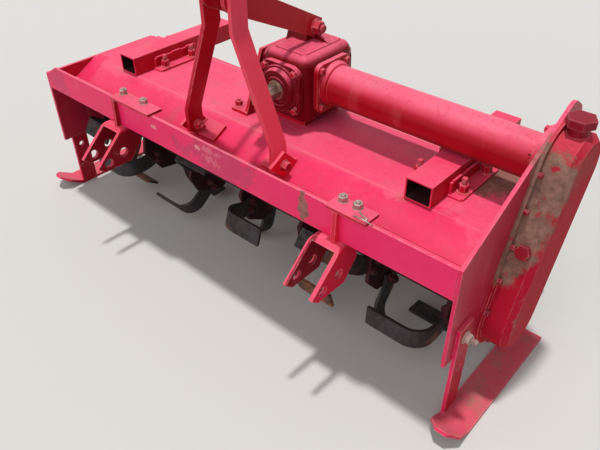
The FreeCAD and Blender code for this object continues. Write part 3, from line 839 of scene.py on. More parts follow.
@dataclass
class Paints:
    """Every finish on the machine."""

    hood: bpy.types.Material = field(init=False)
    rail: bpy.types.Material = field(init=False)
    sheet: bpy.types.Material = field(init=False)
    hollow: bpy.types.Material = field(init=False)
    board: bpy.types.Material = field(init=False)
    strut: bpy.types.Material = field(init=False)
    lit_strut: bpy.types.Material = field(init=False)
    clevis: bpy.types.Material = field(init=False)
    lit_clevis: bpy.types.Material = field(init=False)
    plate: bpy.types.Material = field(init=False)
    skid: bpy.types.Material = field(init=False)
    tube: bpy.types.Material = field(init=False)
    casting: bpy.types.Material = field(init=False)
    case: bpy.types.Material = field(init=False)
    rotor: bpy.types.Material = field(init=False)
    tine: bpy.types.Material = field(init=False)
    shaft: bpy.types.Material = field(init=False)
    bolt: bpy.types.Material = field(init=False)
    painted_bolt: bpy.types.Material = field(init=False)
    dusty_bolt: bpy.types.Material = field(init=False)

    def build_hood(self, datum: Datum) -> None:
        """Make the paints of the hood's sheets: pale bend lines and rear edge that are worn paint and painted
        highlight, patches where their painted top light is held back, and their mud.
        """
        deck = datum.deck_z
        rail_y = datum.rail_y
        bend_y = rail_y + 0.148
        corner = Patch((datum.right - 0.08, datum.deck_rear - 0.02, deck), (0.13, 0.078, 0.05), 0.9)
        # Pale lines along the bend and the rear edge: worn paint and painted highlight
        bend = Patch((-0.02, bend_y, deck), (0.66, 0.0032, 0.006), 0.26, 0.22, 9.0)
        rear = Patch((-0.02, datum.deck_rear - 0.001, deck), (0.66, 0.004, 0.005), 0.7, 0.3, 20.0)
        # Its fresh patches hold back the painted top light on the slope and near the ends
        self.hood = Paint("red_hood_paint", mud=(corner,), pale=(bend, rear), dusting=0.3, fresh=(
            Patch((datum.left + 0.03, rail_y + 0.11, deck - 0.02), (0.035, 0.06, 0.06), 0.9),
            Patch((datum.right - 0.16, rail_y + 0.1, deck), (0.16, 0.06, 0.05), 0.7),
            Patch((0.0, rail_y + 0.074, deck - 0.02), (0.9, 0.076, 0.09), 0.6, 0.08))).build()
        top = datum.rail_z
        # The front angle's paint is a lit copy: brighter throughout, painted light for its front face
        self.rail = Paint("lit_red_rail_paint", pale=(
            # Along the top edge: worn paint and painted highlight on the fold
            Patch((0.0, rail_y, top), (0.75, 0.005, 0.0012), 0.4, 0.4, 40.0),
            Patch((0.028, rail_y, 0.386), (0.03, 0.004, 0.007), 0.4, 0.9, 70.0),
            Patch((0.036, rail_y, 0.362), (0.024, 0.004, 0.009), 0.34, 0.9, 70.0),
            Patch((-0.168, rail_y, 0.373), (0.012, 0.004, 0.005), 1.0, 0.5, 90.0),
            Patch((-0.012, rail_y, 0.378), (0.007, 0.004, 0.006), 1.0, 0.5, 120.0)),
            mud=(Patch((0.293, rail_y, 0.366), (0.014, 0.006, 0.034), 0.9, 0.3, 60.0),),
            # Painted shadows on the front angle: the mast head's shadow, and a shade patch near the left end
            shade_patches=(Patch((0.05, rail_y, 0.372), (0.12, 0.02, 0.05), 0.5, 0.5, 24.0),
                  Patch((-0.57, rail_y, 0.365), (0.05, 0.02, 0.04), 0.4, 0.5, 24.0)),
            base=tone(250, 44, 108), deep=tone(236, 36, 92), light_and_fade=0.6, chips=0.5, wear=0.45).build()
        seam_x = datum.right
        self.plate = Paint("red_plate_paint", deep=tone(182, 34, 62), worn=tone(240, 150, 160), mud=(
            Patch((seam_x - 0.008, datum.deck_rear - 0.02, deck + 0.03), (0.02, 0.09, 0.03), 0.8),
            Patch((seam_x, datum.shaft.y - 0.05, datum.shaft.z + 0.03), (0.02, 0.05, 0.06), 0.7)),
            light_and_fade=0.5, dusting=0.6, wear=1.0).build()

    def build_frames(self, datum: Datum) -> None:
        """Make the paints of the beams, the hitch, the skids and the tube."""
        self.sheet = Paint("red_sheet_paint", base=tone(240, 36, 90), deep=tone(184, 20, 44), light_and_fade=0.5,
                           dusting=0.12).build()
        board_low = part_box("levelling_board")[0]
        self.board = Paint("red_board_paint", base=tone(226, 32, 76), deep=tone(196, 26, 56), wear=1.0, chips=0.8,
                           lit_way=(0.0, 0.8, 0.5), dusting=0.7, mud=(
            Patch((-0.2, 0.27, board_low.z), (0.5, 0.12, 0.05), 0.7, 0.7, 12.0),
            Patch((0.42, 0.27, board_low.z), (0.3, 0.12, 0.08), 0.7, 0.7, 12.0))).build()
        # Painted shade for the walls inside the hollow beams
        self.hollow = Paint("painted_shade_hollow_paint", base=tone(46, 16, 20), lit_and_faded=tone(58, 24, 28),
                            deep=tone(34, 12, 16), worn=tone(70, 34, 36), chips=0.2, gloss=0.7).build()
        self.strut = Paint("red_strut_paint", base=tone(206, 30, 62), deep=tone(176, 14, 34), light_and_fade=0.8,
                           chips=0.25).build()
        # A lit copy of the strut paint for the right strut: painted light on faces that catch it
        self.lit_strut = Paint("lit_strut_paint", base=tone(240, 72, 98), deep=tone(236, 66, 90), light_and_fade=0.8,
                                chips=0.3, lit_way=(0.5, -0.2, 0.8)).build()
        self.clevis = Paint("red_clevis_paint", base=tone(214, 26, 62), deep=tone(146, 14, 32),
                            worn=tone(240, 136, 140), wear=1.0, chips=0.5).build()
        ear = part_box("right_clevis")[0]
        # A lit copy of the clevis paint, bright on every side as painted light, for the right clevis and its strut
        # foot; its shade patch paints the shade on the inner face between its ears
        self.lit_clevis = Paint("lit_clevis_paint", base=tone(226, 32, 68), deep=tone(232, 34, 68),
                                   worn=tone(240, 136, 140), wear=1.0, chips=0.5, shade_tone=tone(110, 18, 30), shade_patches=(
            Patch((ear.x + 0.011, ear.y + 0.06, ear.z + 0.04), (0.0075, 0.12, 0.09), 0.85, 0.05),)).build()
        self.skid = Paint("red_skid_paint", lit_and_faded=tone(214, 96, 110), chips=1.0, dusting=0.8, wear=1.0, light_and_fade=0.8,
                          under=0.9).build()
        self.tube = Paint("red_tube_paint", base=tone(206, 26, 60), deep=tone(172, 14, 34),
                          lit_and_faded=tone(244, 106, 136), lit_way=(0.0, 0.1, 1.0), light_and_fade=1.0, chips=0.2, gloss=0.28).build()

    def build_castings(self, datum: Datum) -> None:
        """Make the paints of the castings, the gear case with its mud, and the rotor."""
        self.casting = Paint("red_cast_paint", base=tone(132, 9, 27), deep=tone(116, 6, 19), sheen=0.13,
                             lit_and_faded=tone(240, 98, 128), worn=tone(206, 92, 110), cast=1.6, chips=0.15, gloss=0.3,
                             light_and_fade=1.0, dusting=0.15, lit_way=(0, 0, 1)).build()
        x = datum.right + 0.03
        self.case = Paint("red_case_paint", base=tone(176, 22, 48), deep=tone(176, 20, 42),
                          lit_and_faded=tone(222, 84, 104), cast=1.0, chips=0.7, light_and_fade=0.5, dusting=0.25,
                          gloss=0.6, sheen=0.07, bare=(
            Patch((x, 0.012, 0.513), (0.02, 0.012, 0.02), 0.9, 0.4, 40.0),
            Patch((x - 0.006, -0.03, 0.445), (0.016, 0.02, 0.03), 0.7, 0.8, 50.0)), mud=(
            Patch((x - 0.004, -0.02, 0.48), (0.06, 0.075, 0.085), 1.0, 0.25),
            Patch((x - 0.006, -0.05, 0.4), (0.055, 0.07, 0.075), 1.0, 0.18),
            Patch((x - 0.01, -0.075, 0.335), (0.042, 0.05, 0.062), 1.0, 0.15),
            Patch((x + 0.032, -0.1, 0.28), (0.009, 0.05, 0.13), 0.85, 0.35),
            Patch((x + 0.036, 0.06, 0.5), (0.01, 0.07, 0.06), 0.3, 0.7, 16.0))).build()
        self.rotor = Paint("worn_rotor_paint", base=tone(60, 18, 24), lit_and_faded=tone(64, 28, 32),
                           deep=tone(44, 14, 20), worn=tone(116, 62, 58), rust=tone(74, 46, 38),
                           dust=tone(94, 76, 66), chips=0.8, dusting=0.8, gloss=0.62, wear=0.6, cast=1.5).build()

    def build_steels(self) -> None:
        """Make the bare steels and the bolts' finishes."""
        # Dark steel, its tones set as dark as it looks in the shade under the hood: partly painted shade
        self.tine = Steel("shaded_rusted_tine_steel", metal=tone(44, 36, 40), rust=tone(50, 34, 32), dark=tone(24, 20, 26),
                          cover=0.72, orange=0.85, shine=0.55, metallic=0.15).build()
        self.shaft = Steel("bare_shaft_steel", metal=tone(176, 156, 144), rust=tone(128, 92, 76), cover=0.25,
                           shine=0.36).build()
        self.bolt = Steel("dull_zinc_steel", metal=tone(176, 152, 146), rust=tone(134, 84, 76), cover=0.34,
                          shine=0.5).build()
        self.painted_bolt = Paint("red_bolt_paint", base=tone(206, 26, 60), deep=tone(150, 16, 36), wear=0.9,
                                  lit_and_faded=tone(226, 90, 112), light_and_fade=0.8, chips=0.7).build()
        self.dusty_bolt = Paint("dusty_bolt_paint", base=tone(146, 22, 42), deep=tone(132, 16, 34),
                                lit_and_faded=tone(136, 34, 50), wear=0.6, light_and_fade=0.8, chips=0.9, dusting=0.25, sheen=0.12).build()

    def build(self, datum: Datum) -> None:
        """Make the finishes.

        Args:
            datum: The machine's lines, for the places of mud and wear.
        """
        self.build_hood(datum)
        self.build_frames(datum)
        self.build_castings(datum)
        self.build_steels()


@dataclass
class Copies:
    """The pieces whose solids have the right shape, with their edges rounded."""

    edge: float = 0.0012

    def build(self, paints: Paints) -> None:
        """Build and show the copies."""
        rows = [
            ("hood_sheet", "hood_deck", paints.hood, Slot.RED, Body.FRAME),
            ("rail_angle", "front_rail", paints.rail, Slot.RED, Body.FRAME),
            ("left_plate", "left_end_plate", paints.plate, Slot.RED, Body.FRAME),
            ("right_plate", "right_end_plate", paints.plate, Slot.RED, Body.FRAME),
            ("left_skid_bar", "left_skid", paints.skid, Slot.RED, Body.FRAME),
            ("right_skid_bar", "right_skid", paints.skid, Slot.RED, Body.FRAME),
            ("left_hood_beam", "left_beam", paints.sheet, Slot.RED, Body.FRAME),
            ("right_hood_beam", "right_beam", paints.sheet, Slot.RED, Body.FRAME),
            ("left_beam_angles", "left_beam_feet", paints.sheet, Slot.RED, Body.FRAME),
            ("right_beam_angles", "right_beam_feet", paints.sheet, Slot.RED, Body.FRAME),
            ("left_hitch_clevis", "left_clevis", paints.clevis, Slot.RED, Body.FRAME),
            ("right_hitch_clevis", "right_clevis", paints.lit_clevis, Slot.RED, Body.FRAME),
            ("left_clamp", "left_clamp_plate", paints.clevis, Slot.RED, Body.FRAME),
            ("right_clamp", "right_clamp_plate", paints.clevis, Slot.RED, Body.FRAME),
            ("left_frame_foot", "left_strut_foot", paints.strut, Slot.RED, Body.FRAME),
            ("right_frame_foot", "right_strut_foot", paints.lit_clevis, Slot.RED, Body.FRAME),
            ("left_frame_strut", "left_strut", paints.strut, Slot.RED, Body.FRAME),
            ("right_frame_strut", "right_strut", paints.lit_strut, Slot.RED, Body.FRAME),
            ("left_cheek", "left_mast_cheek", paints.strut, Slot.RED, Body.FRAME),
            ("right_cheek", "right_mast_cheek", paints.strut, Slot.RED, Body.FRAME),
            ("gearbox_seat", "gearbox_cradle", paints.clevis, Slot.RED, Body.FRAME),
            ("case_casting", "gear_case", paints.case, Slot.CAST, Body.FRAME),
            ("filler_hex", "filler_cap", paints.dusty_bolt, Slot.RED, Body.FRAME),
            ("plug_hex", "level_plug", paints.dusty_bolt, Slot.FASTENER, Body.FRAME),
            ("left_rotor_housing", "left_bearing", paints.casting, Slot.CAST, Body.FRAME),
            ("right_rotor_housing", "right_bearing", paints.casting, Slot.CAST, Body.FRAME),
            ("rear_board", "levelling_board", paints.board, Slot.RED, Body.BOARD),
            ("board_rod", "board_hinge", paints.sheet, Slot.RED, Body.FRAME),
            ("rotor_tube", "rotor_shaft", paints.rotor, Slot.WORN, Body.ROTOR),
            ("right_blades", "right_hand_tines", paints.tine, Slot.TINE, Body.ROTOR),
            ("left_blades", "left_hand_tines", paints.tine, Slot.TINE, Body.ROTOR),
            ("splined_shaft", "pto_shaft", paints.shaft, Slot.SHAFT, Body.INPUT),
        ]
        for name, node, paint, slot, body in rows:
            piece = round_off(node_copy(name, node), self.edge, 2)
            show(piece, paint, body, (node,))
        # The beams' inner walls take the painted shade
        for name in ("left_hood_beam", "right_hood_beam"):
            self.darken_inside(bpy.data.objects[name], paints.hollow)

    def darken_inside(self, beam: bpy.types.Object, finish: bpy.types.Material) -> None:
        """Paint shade on the walls inside a hollow beam: the faces that look towards its axis get the dark
        painted-shade finish.
        """
        beam.data.materials.append(finish)
        corners = [Vector(corner) for corner in beam.bound_box]
        axis = sum(corners, Vector()) / len(corners)
        for face in beam.data.polygons:
            away = face.center - axis
            away.y = 0
            if abs(face.normal.y) < 0.5 and away.dot(face.normal) < 0:
                face.material_index = 1


def rounded_cover(low: Sequence[float], high: Sequence[float], way: Sequence[float], corner: float,
                  rim: float = 0.006, sunk: float = 0.0025) -> bpy.types.Object:
    """A cast cover: a block with its corners rounded about its way, and a raised rim round its face.

    Args:
        low: Its lowest corner.
        high: Its highest corner.
        way: The way that it faces.
        corner: The corners' radius.
        rim: The rim's width.
        sunk: How far the face lies under the rim.

    Returns:
        The piece.
    """
    facing = Vector(way)
    piece = block("cover", low, high)
    with editing(piece, "EDGE"):
        choose_edges(piece, lambda middle, run: abs(run.dot(facing)) > 0.99)
        bpy.ops.mesh.bevel(offset=corner, segments=6, affect="EDGES")
    with editing(piece):
        choose_faces(piece, lambda middle, normal: normal.dot(facing) > 0.99)
        bpy.ops.mesh.inset(thickness=rim, depth=0.0)
        bpy.ops.mesh.inset(thickness=sunk, depth=-sunk)
    return round_off(piece, 0.0013, 2, 28.0)


def bolts_at(name: str, bolt: Bolt, places: Iterable[tuple[Sequence[float], Sequence[float]]],
             finish: bpy.types.Material, body: Body = Body.FRAME) -> bpy.types.Object:
    """Show one piece of like bolts, each turned its own way.

    Args:
        name: The piece's name.
        bolt: The bolt.
        places: Each bolt's seat and the way that it stands.
        finish: Its material.
        body: The body that it moves with.

    Returns:
        The piece.
    """
    turns = ((place, way, 17.0 * index) for index, (place, way) in enumerate(places))
    return show(spread_out(name, bolt.model("bolt"), turns), finish, body)


@dataclass
class Gearbox:
    """The cast housing with its covers, seams, bolts and lug."""

    fillet: float = 0.022
    corner: float = 0.026
    bolt_reach: float = 0.043
    pad: float = 0.003
    bolt: Bolt = Bolt(0.014, 0.007, 0.0098, 0.0016)

    def casting(self, datum: Datum) -> bpy.types.Object:
        """Model the housing: a block with deep fillets, a raised pad on its top, and the mast's lug."""
        low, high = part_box("gearbox_housing")
        cover_low, cover_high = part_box("input_cover")
        tube_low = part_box("drive_tube")[0]
        axis = Vector((datum.gearbox_x, datum.shaft.y, datum.shaft.z))
        half = tube_low.x - axis.x
        front = cover_high.y
        roof = axis.z + 0.078
        body = block("gearbox_casting", (axis.x - half, front, low.z),
                     (axis.x + half, 2 * axis.y - front, roof - self.pad))
        with editing(body, "EDGE"):
            bpy.ops.mesh.select_all(action="SELECT")
            bpy.ops.mesh.bevel(offset=self.fillet, segments=6, affect="EDGES")
        with editing(body):
            choose_faces(body, lambda middle, normal: normal.z > 0.99)
            bpy.ops.mesh.inset(thickness=0.002, depth=0.0)
            bpy.ops.mesh.inset(thickness=0.002, depth=self.pad)
        body = round_off(body, 0.0012, 2)
        cheek_low, cheek_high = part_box("right_mast_cheek")
        left_cheek_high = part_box("left_mast_cheek")[1]
        lug = block("lug", (left_cheek_high.x, 0.0857, roof - 0.012), (cheek_low.x, 0.1297, high.z))
        with editing(lug, "EDGE"):
            choose_edges(lug, lambda middle, run: abs(run.x) > 0.99 and middle.z > high.z - 0.001)
            bpy.ops.mesh.bevel(offset=0.016, segments=6, affect="EDGES")
        with editing(lug):
            choose_faces(lug, lambda middle, normal: normal.z < -0.99)
            bpy.ops.transform.resize(value=(1.25, 1.35, 1.0), center_override=(datum.hitch_x, 0.1077, roof))
        lug = round_off(lug, 0.002, 2)
        rib = block("rib", (cheek_low.x - 0.002, 0.1047, roof - 0.006), (cheek_low.x + 0.05, 0.1107, roof + 0.021))
        with editing(rib, "EDGE"):
            choose_edges(rib, lambda middle, run: middle.x > cheek_low.x + 0.049 and middle.z > roof + 0.02)
            bpy.ops.transform.translate(value=(0, 0, -0.0205))
        rib = round_off(rib, 0.0008, 2)
        log.info("rib top %.4f, cheek's lowest %.4f", roof + 0.021, cheek_low.z)
        return join("gearbox_casting", [body, lug, rib])

    def build(self, datum: Datum, paints: Paints) -> None:
        """Build and show the housing, the covers and their bolts."""
        show(self.casting(datum), paints.casting, nodes=("gearbox_housing",))
        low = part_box("gearbox_housing")[0]
        cover_low, cover_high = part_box("input_cover")
        half = (cover_high.x - cover_low.x) / 2
        axis = Vector((datum.gearbox_x, datum.shaft.y, datum.shaft.z))
        seat = cover_high.y
        face = seat - 0.012
        front = rounded_cover((axis.x - half, face, axis.z - half), (axis.x + half, seat + 0.002, axis.z + half),
                              (0, -1, 0), self.corner)
        ring = turned("ring", (axis.x, face + 0.004, axis.z), (0, -1, 0),
                      [(0, 0.053), (0.004, 0.053), (0.0065, 0.0505), (0.0065, 0.047), (0.0165, 0.044),
                       (0.018, 0.0415), (0.018, 0.0365), (0.0145, 0.035), (0.0145, 0.0295), (0.018, 0.028),
                       (0.018, 0.0235), (0.009, 0.0226)], 64)
        show(join("gearbox_front_cover", [front, round_off(ring, 0.0007, 2)]), paints.casting,
             nodes=("input_cover",))
        plate_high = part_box("gearbox_cradle")[1]
        boss = 0.052
        left = rounded_cover((low.x, axis.y - boss, axis.z - boss), (axis.x - 0.06, axis.y + boss, axis.z + boss),
                             (-1, 0, 0), self.corner, 0.006, 0.0)
        rear_y = 2 * axis.y - seat
        back = rounded_cover((axis.x - half, rear_y - 0.004, axis.z - half),
                             (axis.x + half, rear_y + 0.004, axis.z + half), (0, 1, 0), self.corner)
        show(join("gearbox_side_covers", [left, back]), paints.casting)
        r = self.bolt_reach
        places = []
        for a in (-r, r):
            for b in (-r, r):
                places.append(((axis.x + a, face + 0.0022, axis.z + b), (0, -1, 0)))
                places.append(((axis.x + a, rear_y + 0.0015, axis.z + b), (0, 1, 0)))
                places.append(((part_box("drive_tube")[0].x + 0.0095, axis.y + a, axis.z + b), (1, 0, 0)))
                places.append(((low.x - 0.008, axis.y + a * 0.84, axis.z + b * 0.84), (-1, 0, 0)))
        bolts_at("gearbox_bolts", self.bolt, places, paints.painted_bolt)
        leaf = Vector((low.x - 0.043, -0.009, datum.deck_z + 0.008))
        bolts_at("gearbox_foot_bolts", Bolt(0.017, 0.012, 0.0125, 0.002, 0.005, 0.004),
                 [(leaf, UP), (leaf + Vector((0, 0.135, 0)), UP)], paints.painted_bolt)
        weld_y = (-0.02, plate_high.y - 0.004)
        bead = weld("gearbox_foot_weld", [(low.x - 0.009, weld_y[0], datum.deck_z + 0.009),
                                          (low.x - 0.009, weld_y[1], datum.deck_z + 0.009)])
        show(bead, paints.clevis)


@dataclass
class DriveTube:
    """The tube from the gearbox to the gear case."""

    radius: float = 0.0445
    collar: float = 0.052
    flange: float = 0.066
    thickness: float = 0.012

    def build(self, datum: Datum, paints: Paints) -> None:
        """Build and show the tube with its square cover, its flange and their bolts."""
        low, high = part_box("drive_tube")
        axis = datum.shaft
        length = high.x - low.x
        t = self.thickness
        r = self.radius
        f = self.flange
        half = 0.057
        cover = rounded_cover((low.x, axis.y - half, axis.z - half), (low.x + t, axis.y + half, axis.z + half),
                              (1, 0, 0), 0.02)
        steps = [(0.004, self.collar), (t + 0.004, self.collar), (t + 0.006, self.collar - 0.001)]
        for index in range(1, 7):
            angle = math.radians(15 * index)
            steps.append((t + 0.006 + 0.008 * math.sin(angle), self.collar - 0.001 - 0.0065 * (1 - math.cos(angle))))
        steps += [(length - t - 0.007, r), (length - t - 0.003, r + 0.004), (length - t, r + 0.0045),
                  (length - t, f), (length, f)]
        tube = round_off(turned("tube", (low.x, axis.y, axis.z), (1, 0, 0), steps, 96), 0.0008, 2, 25.0)
        show(join("drive_tube_welded", [tube, cover]), paints.tube, nodes=("drive_tube",))
        places = []
        for index in range(6):
            angle = math.radians(60 * index + 24)
            places.append(((high.x - t, axis.y + 0.057 * math.cos(angle), axis.z + 0.057 * math.sin(angle)),
                           (-1, 0, 0)))
        bolts_at("tube_flange_bolts", Bolt(0.013, 0.007, 0.0088, 0.0015), places, paints.painted_bolt)


@dataclass
class Hitch:
    """The clamps' and the A-frame's bolts, welds and clip."""

    clamp_bolt: Bolt = Bolt(0.0175, 0.0105, 0.0106, 0.0012, 0.005, 0.003)
    frame_bolt: Bolt = Bolt(0.019, 0.01, 0.0135, 0.002)
    frame_nut: Bolt = Bolt(0.019, 0.011, 0.0135, 0.002, 0.006, 0.009)
    mast_nut: Bolt = Bolt(0.027, 0.014, 0.018, 0.0025, 0.009, 0.008)

    def clamps(self, datum: Datum, paints: Paints) -> None:
        """Build the clamp plates' bolts, and the clip that hangs from the right one."""
        y = datum.rail_y + 0.021
        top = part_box("left_clamp_plate")[1].z
        places = [((x, y, top), UP) for x in (-0.299, -0.221, 0.373, 0.407)]
        bolts_at("clamp_bolts", self.clamp_bolt, places, paints.bolt)
        bpy.ops.object.select_all(action="DESELECT")
        bpy.ops.mesh.primitive_torus_add(major_radius=0.014, minor_radius=0.0013, major_segments=28,
                                         minor_segments=8, location=(0, 0, 0))
        ring = active("ring")
        with editing(ring):
            bpy.ops.mesh.select_all(action="SELECT")
            bpy.ops.transform.resize(value=(1.45, 0.8, 1.0), center_override=(0, 0, 0))
            bpy.ops.transform.rotate(value=math.radians(52), orient_axis="X", center_override=(0, 0, 0))
            bpy.ops.transform.translate(value=(0.434, datum.rail_y - 0.001, top - 0.003))
        pin = turned("pin", (0.418, datum.rail_y + 0.012, top), (0.9, -0.5, 0.1),
                     [(0, 0.0022), (0.024, 0.0022), (0.026, 0.0034), (0.029, 0.0034), (0.031, 0.002)], 16)
        pick([ring])
        bpy.ops.object.shade_smooth()
        show(join("clamp_clip", [ring, pin]), paints.bolt)

    def frame(self, datum: Datum, paints: Paints) -> None:
        """Build the A-frame's bolts and the welds at its feet."""
        places = []
        nuts = []
        for side in (-1, 1):
            name = "left" if side < 0 else "right"
            low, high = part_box(name + "_strut_foot")
            out = high.x if side > 0 else low.x
            inner = out - side * 0.018
            places.append(((out, -0.122, 0.368), (side, 0, 0)))
            nuts.append(((inner, -0.122, 0.368), (-side, 0, 0)))
        cheek_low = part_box("left_mast_cheek")[0].x
        cheek_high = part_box("right_mast_cheek")[1].x
        bolts_at("mast_bolt", self.mast_nut, [((cheek_low, 0.1077, 0.573), (-1, 0, 0)),
                                              ((cheek_high, 0.1077, 0.573), (1, 0, 0))], paints.painted_bolt)
        bolts_at("frame_bolts", self.frame_bolt, places, paints.painted_bolt)
        bolts_at("frame_nuts", self.frame_nut, nuts, paints.painted_bolt)
        beads = []
        for side in (-1, 1):
            low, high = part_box("left_strut_foot" if side < 0 else "right_strut_foot")
            x = (high.x if side > 0 else low.x) - side * 0.009
            beads.append(weld("bead", [(x, -0.121, 0.3475), (x, -0.086, 0.366)], 0.003))
        show(join("frame_foot_welds", beads), paints.strut)

    def build(self, datum: Datum, paints: Paints) -> None:
        """Build and show the hitch's fittings."""
        self.clamps(datum, paints)
        self.frame(datum, paints)


@dataclass
class BeamFittings:
    """The studs that hold the beams' feet, and the welds between foot and beam."""

    stud: Bolt = Bolt(0.019, 0.016, 0.0135, 0.0025, 0.006, 0.014)
    foot_thickness: float = 0.006

    def build(self, datum: Datum, paints: Paints) -> None:
        """Build and show the studs and welds."""
        places = []
        beads = []
        for side in ("left", "right"):
            low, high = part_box(side + "_beam_feet")
            beam_low, beam_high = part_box(side + "_beam")
            for x, wall, way in ((low.x + 0.014, beam_low.x, -1), (high.x - 0.014, beam_high.x, 1)):
                for y in (low.y + 0.022, high.y - 0.03):
                    places.append(((x, y, datum.deck_z + self.foot_thickness), UP))
                edge = wall + way * self.foot_thickness * 0.7
                for start in (0.006, 0.058, 0.108):
                    first = (edge, low.y + start, high.z + 0.0005)
                    last = (edge, low.y + start + 0.03, high.z + 0.0005)
                    beads.append(weld("bead", [first, last], 0.0032))
                front = (wall + way * self.foot_thickness, low.y - 0.001, datum.deck_z + 0.002)
                beads.append(weld("bead", [(wall, front[1], front[2]), (wall + way * 0.03, front[1], front[2])], 0.003))
        bolts_at("beam_studs", self.stud, places, paints.painted_bolt)
        show(join("beam_welds", beads), paints.sheet)


@dataclass
class GearCase:
    """The bolts round the gear case's rim."""

    rim_thickness: float = 0.007
    reach: float = 0.0065
    bolt: Bolt = Bolt(0.010, 0.007, 0.0062, 0.001)

    def build(self, datum: Datum, paints: Paints) -> None:
        """Build and show the bolts, evenly along the rim's two sides and at its ends."""
        top = Vector((datum.shaft.y, datum.shaft.z))
        low = Vector((datum.rotor.y, datum.rotor.z))
        top_reach = 0.072 + self.reach
        low_reach = 0.068 + self.reach
        run = (top - low).normalized()
        across = Vector((-run.y, run.x))
        x = datum.right + self.rim_thickness
        spots = [top + run * top_reach, low - run * low_reach]
        for side in (-1, 1):
            first = low + across * side * low_reach
            last = top + across * side * top_reach
            spots += [first.lerp(last, share) for share in (0.04, 0.27, 0.5, 0.73, 0.96)]
        bolts_at("case_bolts", self.bolt, [((x, spot.x, spot.y), (1, 0, 0)) for spot in spots], paints.dusty_bolt)


@dataclass
class RearBoard:
    """The strips that close the board's top edge between its hinges."""

    thickness: float = 0.004
    clear: float = 0.0095
    overlap: float = 0.0215
    ear: float = 0.0105
    inset: float = 0.134
    hinge_half: float = 0.046
    end: float = 0.010

    def build(self, datum: Datum, paints: Paints) -> None:
        """Build and show the strips, each close under the hinge's rod."""
        low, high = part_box("board_hinge")
        y = high.y - self.ear
        z = (low.z + high.z) / 2
        hinges = (datum.left + self.inset, (datum.left + datum.right) / 2, datum.right - self.inset)
        starts = [datum.left + self.end] + [x + self.hinge_half for x in hinges]
        stops = [x - self.hinge_half for x in hinges] + [datum.right - self.end]
        strips = [round_off(block("strip", (start, y - self.thickness / 2, z - self.overlap),
                                  (stop, y + self.thickness / 2, z - self.clear)), 0.001, 2)
                  for start, stop in zip(starts, stops)]
        show(join("board_top_strips", strips), paints.board, Body.BOARD)


@dataclass
class Rotor:
    """The bolts that hold the tines to the rotor's flanges."""

    flanges: int = 7
    end_gap: float = 0.052
    step: float = 35.0
    tines: int = 4
    flange_half: float = 0.005
    tine: float = 0.008
    bolt: Bolt = Bolt(0.017, 0.008, 0.0115, 0.0015, 0.005, 0.003)

    def build(self, datum: Datum, paints: Paints) -> None:
        """Build and show two bolts and nuts through the root of each tine."""
        first = datum.left + datum.plate + self.end_gap
        last = datum.right - datum.plate - self.end_gap
        places = []
        for index in range(self.flanges):
            x = first + (last - first) * index / (self.flanges - 1)
            hands = (1, -1)
            if index == 0:
                hands = (1, 1)
            elif index == self.flanges - 1:
                hands = (-1, -1)
            for number in range(self.tines):
                hand = hands[number % 2]
                angle = math.radians(index * self.step + 360 / self.tines * number)
                out = Vector((0, -math.sin(angle), math.cos(angle)))
                along = Vector((0, math.cos(angle), math.sin(angle)))
                for radius, aside in ((0.058, 0.009), (0.072, -0.008)):
                    middle = Vector((x, datum.rotor.y, datum.rotor.z)) + out * radius + along * aside
                    head = middle + Vector((hand * (self.flange_half + self.tine), 0, 0))
                    nut = middle - Vector((hand * self.flange_half, 0, 0))
                    places.append((head, (hand, 0, 0)))
                    places.append((nut, (-hand, 0, 0)))
        bolts_at("tine_bolts", self.bolt, places, paints.rotor, Body.ROTOR)


@dataclass
class EndFittings:
    """The bolts of the skids and of the rotor's bearings."""

    skid_bolt: Bolt = Bolt(0.019, 0.01, 0.0135, 0.002, 0.006, 0.012)
    bearing_bolt: Bolt = Bolt(0.017, 0.009, 0.012, 0.002)
    reach: float = 0.047

    def build(self, datum: Datum, paints: Paints) -> None:
        """Build and show the bolts."""
        places = []
        for side in (-1, 1):
            strap = 0.008
            x = (datum.left if side < 0 else datum.right) + side * strap
            for y in (-0.1553, 0.1187):
                places.append(((x, y, 0.214), (side, 0, 0)))
        bolts_at("skid_bolts", self.skid_bolt, places, paints.bolt)
        places = []
        for x in (datum.left - 0.01, datum.right - datum.plate - 0.01):
            for a in (-1, 1):
                for b in (-1, 1):
                    places.append(((x, datum.rotor.y + a * self.reach * 0.86, datum.rotor.z + b * self.reach), (-1, 0, 0)))
        bolts_at("bearing_bolts", self.bearing_bolt, places, paints.painted_bolt)


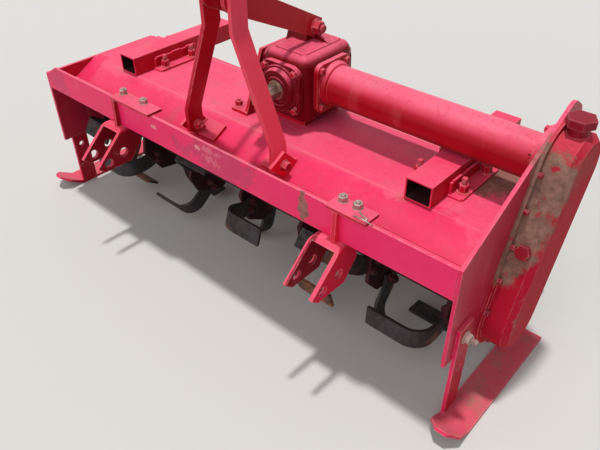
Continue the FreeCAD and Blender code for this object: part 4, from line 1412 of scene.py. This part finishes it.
@dataclass
class Studio:
    """The camera, the lamps and the floor."""

    eye: Point = (0.9339, -0.9207, 1.068)
    yaw: float = 0.736
    pitch: float = -0.66
    roll: float = -0.012
    focal_px: float = 621.5
    frame_px: float = 600.0
    sensor: float = 36.0
    key_way: Point = (0.06, -0.04, -1.0)
    key_energy: float = 2.15
    key_spread: float = 4.0
    fill_way: Point = (0.0, 0.82, -0.57)
    fill_energy: float = 0.95
    fill_spread: float = 55.0
    sky: float = 0.28

    def camera(self) -> bpy.types.Object:
        """Make the camera at the photograph's view.

        Returns:
            The camera.
        """
        forward = Vector((-math.sin(self.yaw) * math.cos(self.pitch), math.cos(self.yaw) * math.cos(self.pitch),
                          math.sin(self.pitch)))
        turn = forward.to_track_quat("-Z", "Y").to_matrix() @ Matrix.Rotation(self.roll, 3, "Z")
        data = bpy.data.cameras.new("camera")
        data.lens = self.focal_px / self.frame_px * self.sensor
        data.sensor_width = self.sensor
        data.clip_end = 50
        camera = bpy.data.objects.new("camera", data)
        camera.location = self.eye
        camera.rotation_euler = turn.to_euler()
        bpy.context.scene.collection.objects.link(camera)
        bpy.context.scene.camera = camera
        return camera

    def lamps(self) -> None:
        """Make a high key, a broad fill from the front and a plain light from all round."""
        for name, way, energy, spread in (("key", self.key_way, self.key_energy, self.key_spread),
                                          ("fill", self.fill_way, self.fill_energy, self.fill_spread)):
            light = bpy.data.lights.new(name, "SUN")
            light.energy = energy
            light.angle = math.radians(spread)
            light.color = (1.0, 0.97, 0.93)
            lamp = bpy.data.objects.new(name, light)
            lamp.rotation_euler = Vector(way).to_track_quat("-Z", "Y").to_euler()
            bpy.context.scene.collection.objects.link(lamp)
        world = bpy.data.worlds.new("studio")
        bpy.context.scene.world = world
        world.use_nodes = True
        tree = world.node_tree
        tree.nodes.clear()
        output = tree.nodes.new("ShaderNodeOutputWorld")
        light = tree.nodes.new("ShaderNodeBackground")
        light.inputs["Color"].default_value = (0.94, 0.97, 1.0, 1.0)
        light.inputs["Strength"].default_value = self.sky
        backdrop = tree.nodes.new("ShaderNodeBackground")
        backdrop.inputs["Color"].default_value = (0.9, 0.9, 0.9, 1.0)
        backdrop.inputs["Strength"].default_value = 1.0
        rays = tree.nodes.new("ShaderNodeLightPath")
        seen = tree.nodes.new("ShaderNodeMath")
        seen.operation = "MAXIMUM"
        mix = tree.nodes.new("ShaderNodeMixShader")
        tree.links.new(rays.outputs["Is Camera Ray"], seen.inputs[0])
        tree.links.new(rays.outputs["Is Glossy Ray"], seen.inputs[1])
        tree.links.new(seen.outputs[0], mix.inputs[0])
        tree.links.new(light.outputs[0], mix.inputs[1])
        tree.links.new(backdrop.outputs[0], mix.inputs[2])
        tree.links.new(mix.outputs[0], output.inputs["Surface"])

    def floor(self) -> None:
        """Lay a plain pale floor."""
        bpy.ops.object.select_all(action="DESELECT")
        bpy.ops.mesh.primitive_plane_add(size=14.0, location=(0, 0, 0))
        floor = active("floor")
        g = Graph("pale_floor")
        g.shader.inputs["Base Color"].default_value = (0.66, 0.66, 0.65, 1.0)
        g.shader.inputs["Roughness"].default_value = 0.85
        floor.data.materials.append(g.material)
        floor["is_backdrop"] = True


def main() -> list[list[float]]:
    """Build the whole scene.

    Returns:
        The CAD model's box, taken before anything is added.
    """
    logging.basicConfig(level=logging.INFO, format="%(name)s %(message)s")
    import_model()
    cad_box = [list(corner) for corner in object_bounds()]
    bpy.context.scene.view_settings.view_transform = "Standard"
    datum = Datum.read()
    studio = Studio()
    studio.camera()
    studio.lamps()
    studio.floor()
    paints = Paints()
    paints.build(datum)
    Copies().build(paints)
    for assembly in (Gearbox(), DriveTube(), Hitch(), BeamFittings(), GearCase(), RearBoard(), Rotor(),
                     EndFittings()):
        assembly.build(datum, paints)
    return cad_box


if __name__ == "__main__":
    size = {"cad": main()}
    size["visual"] = [list(corner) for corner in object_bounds()]
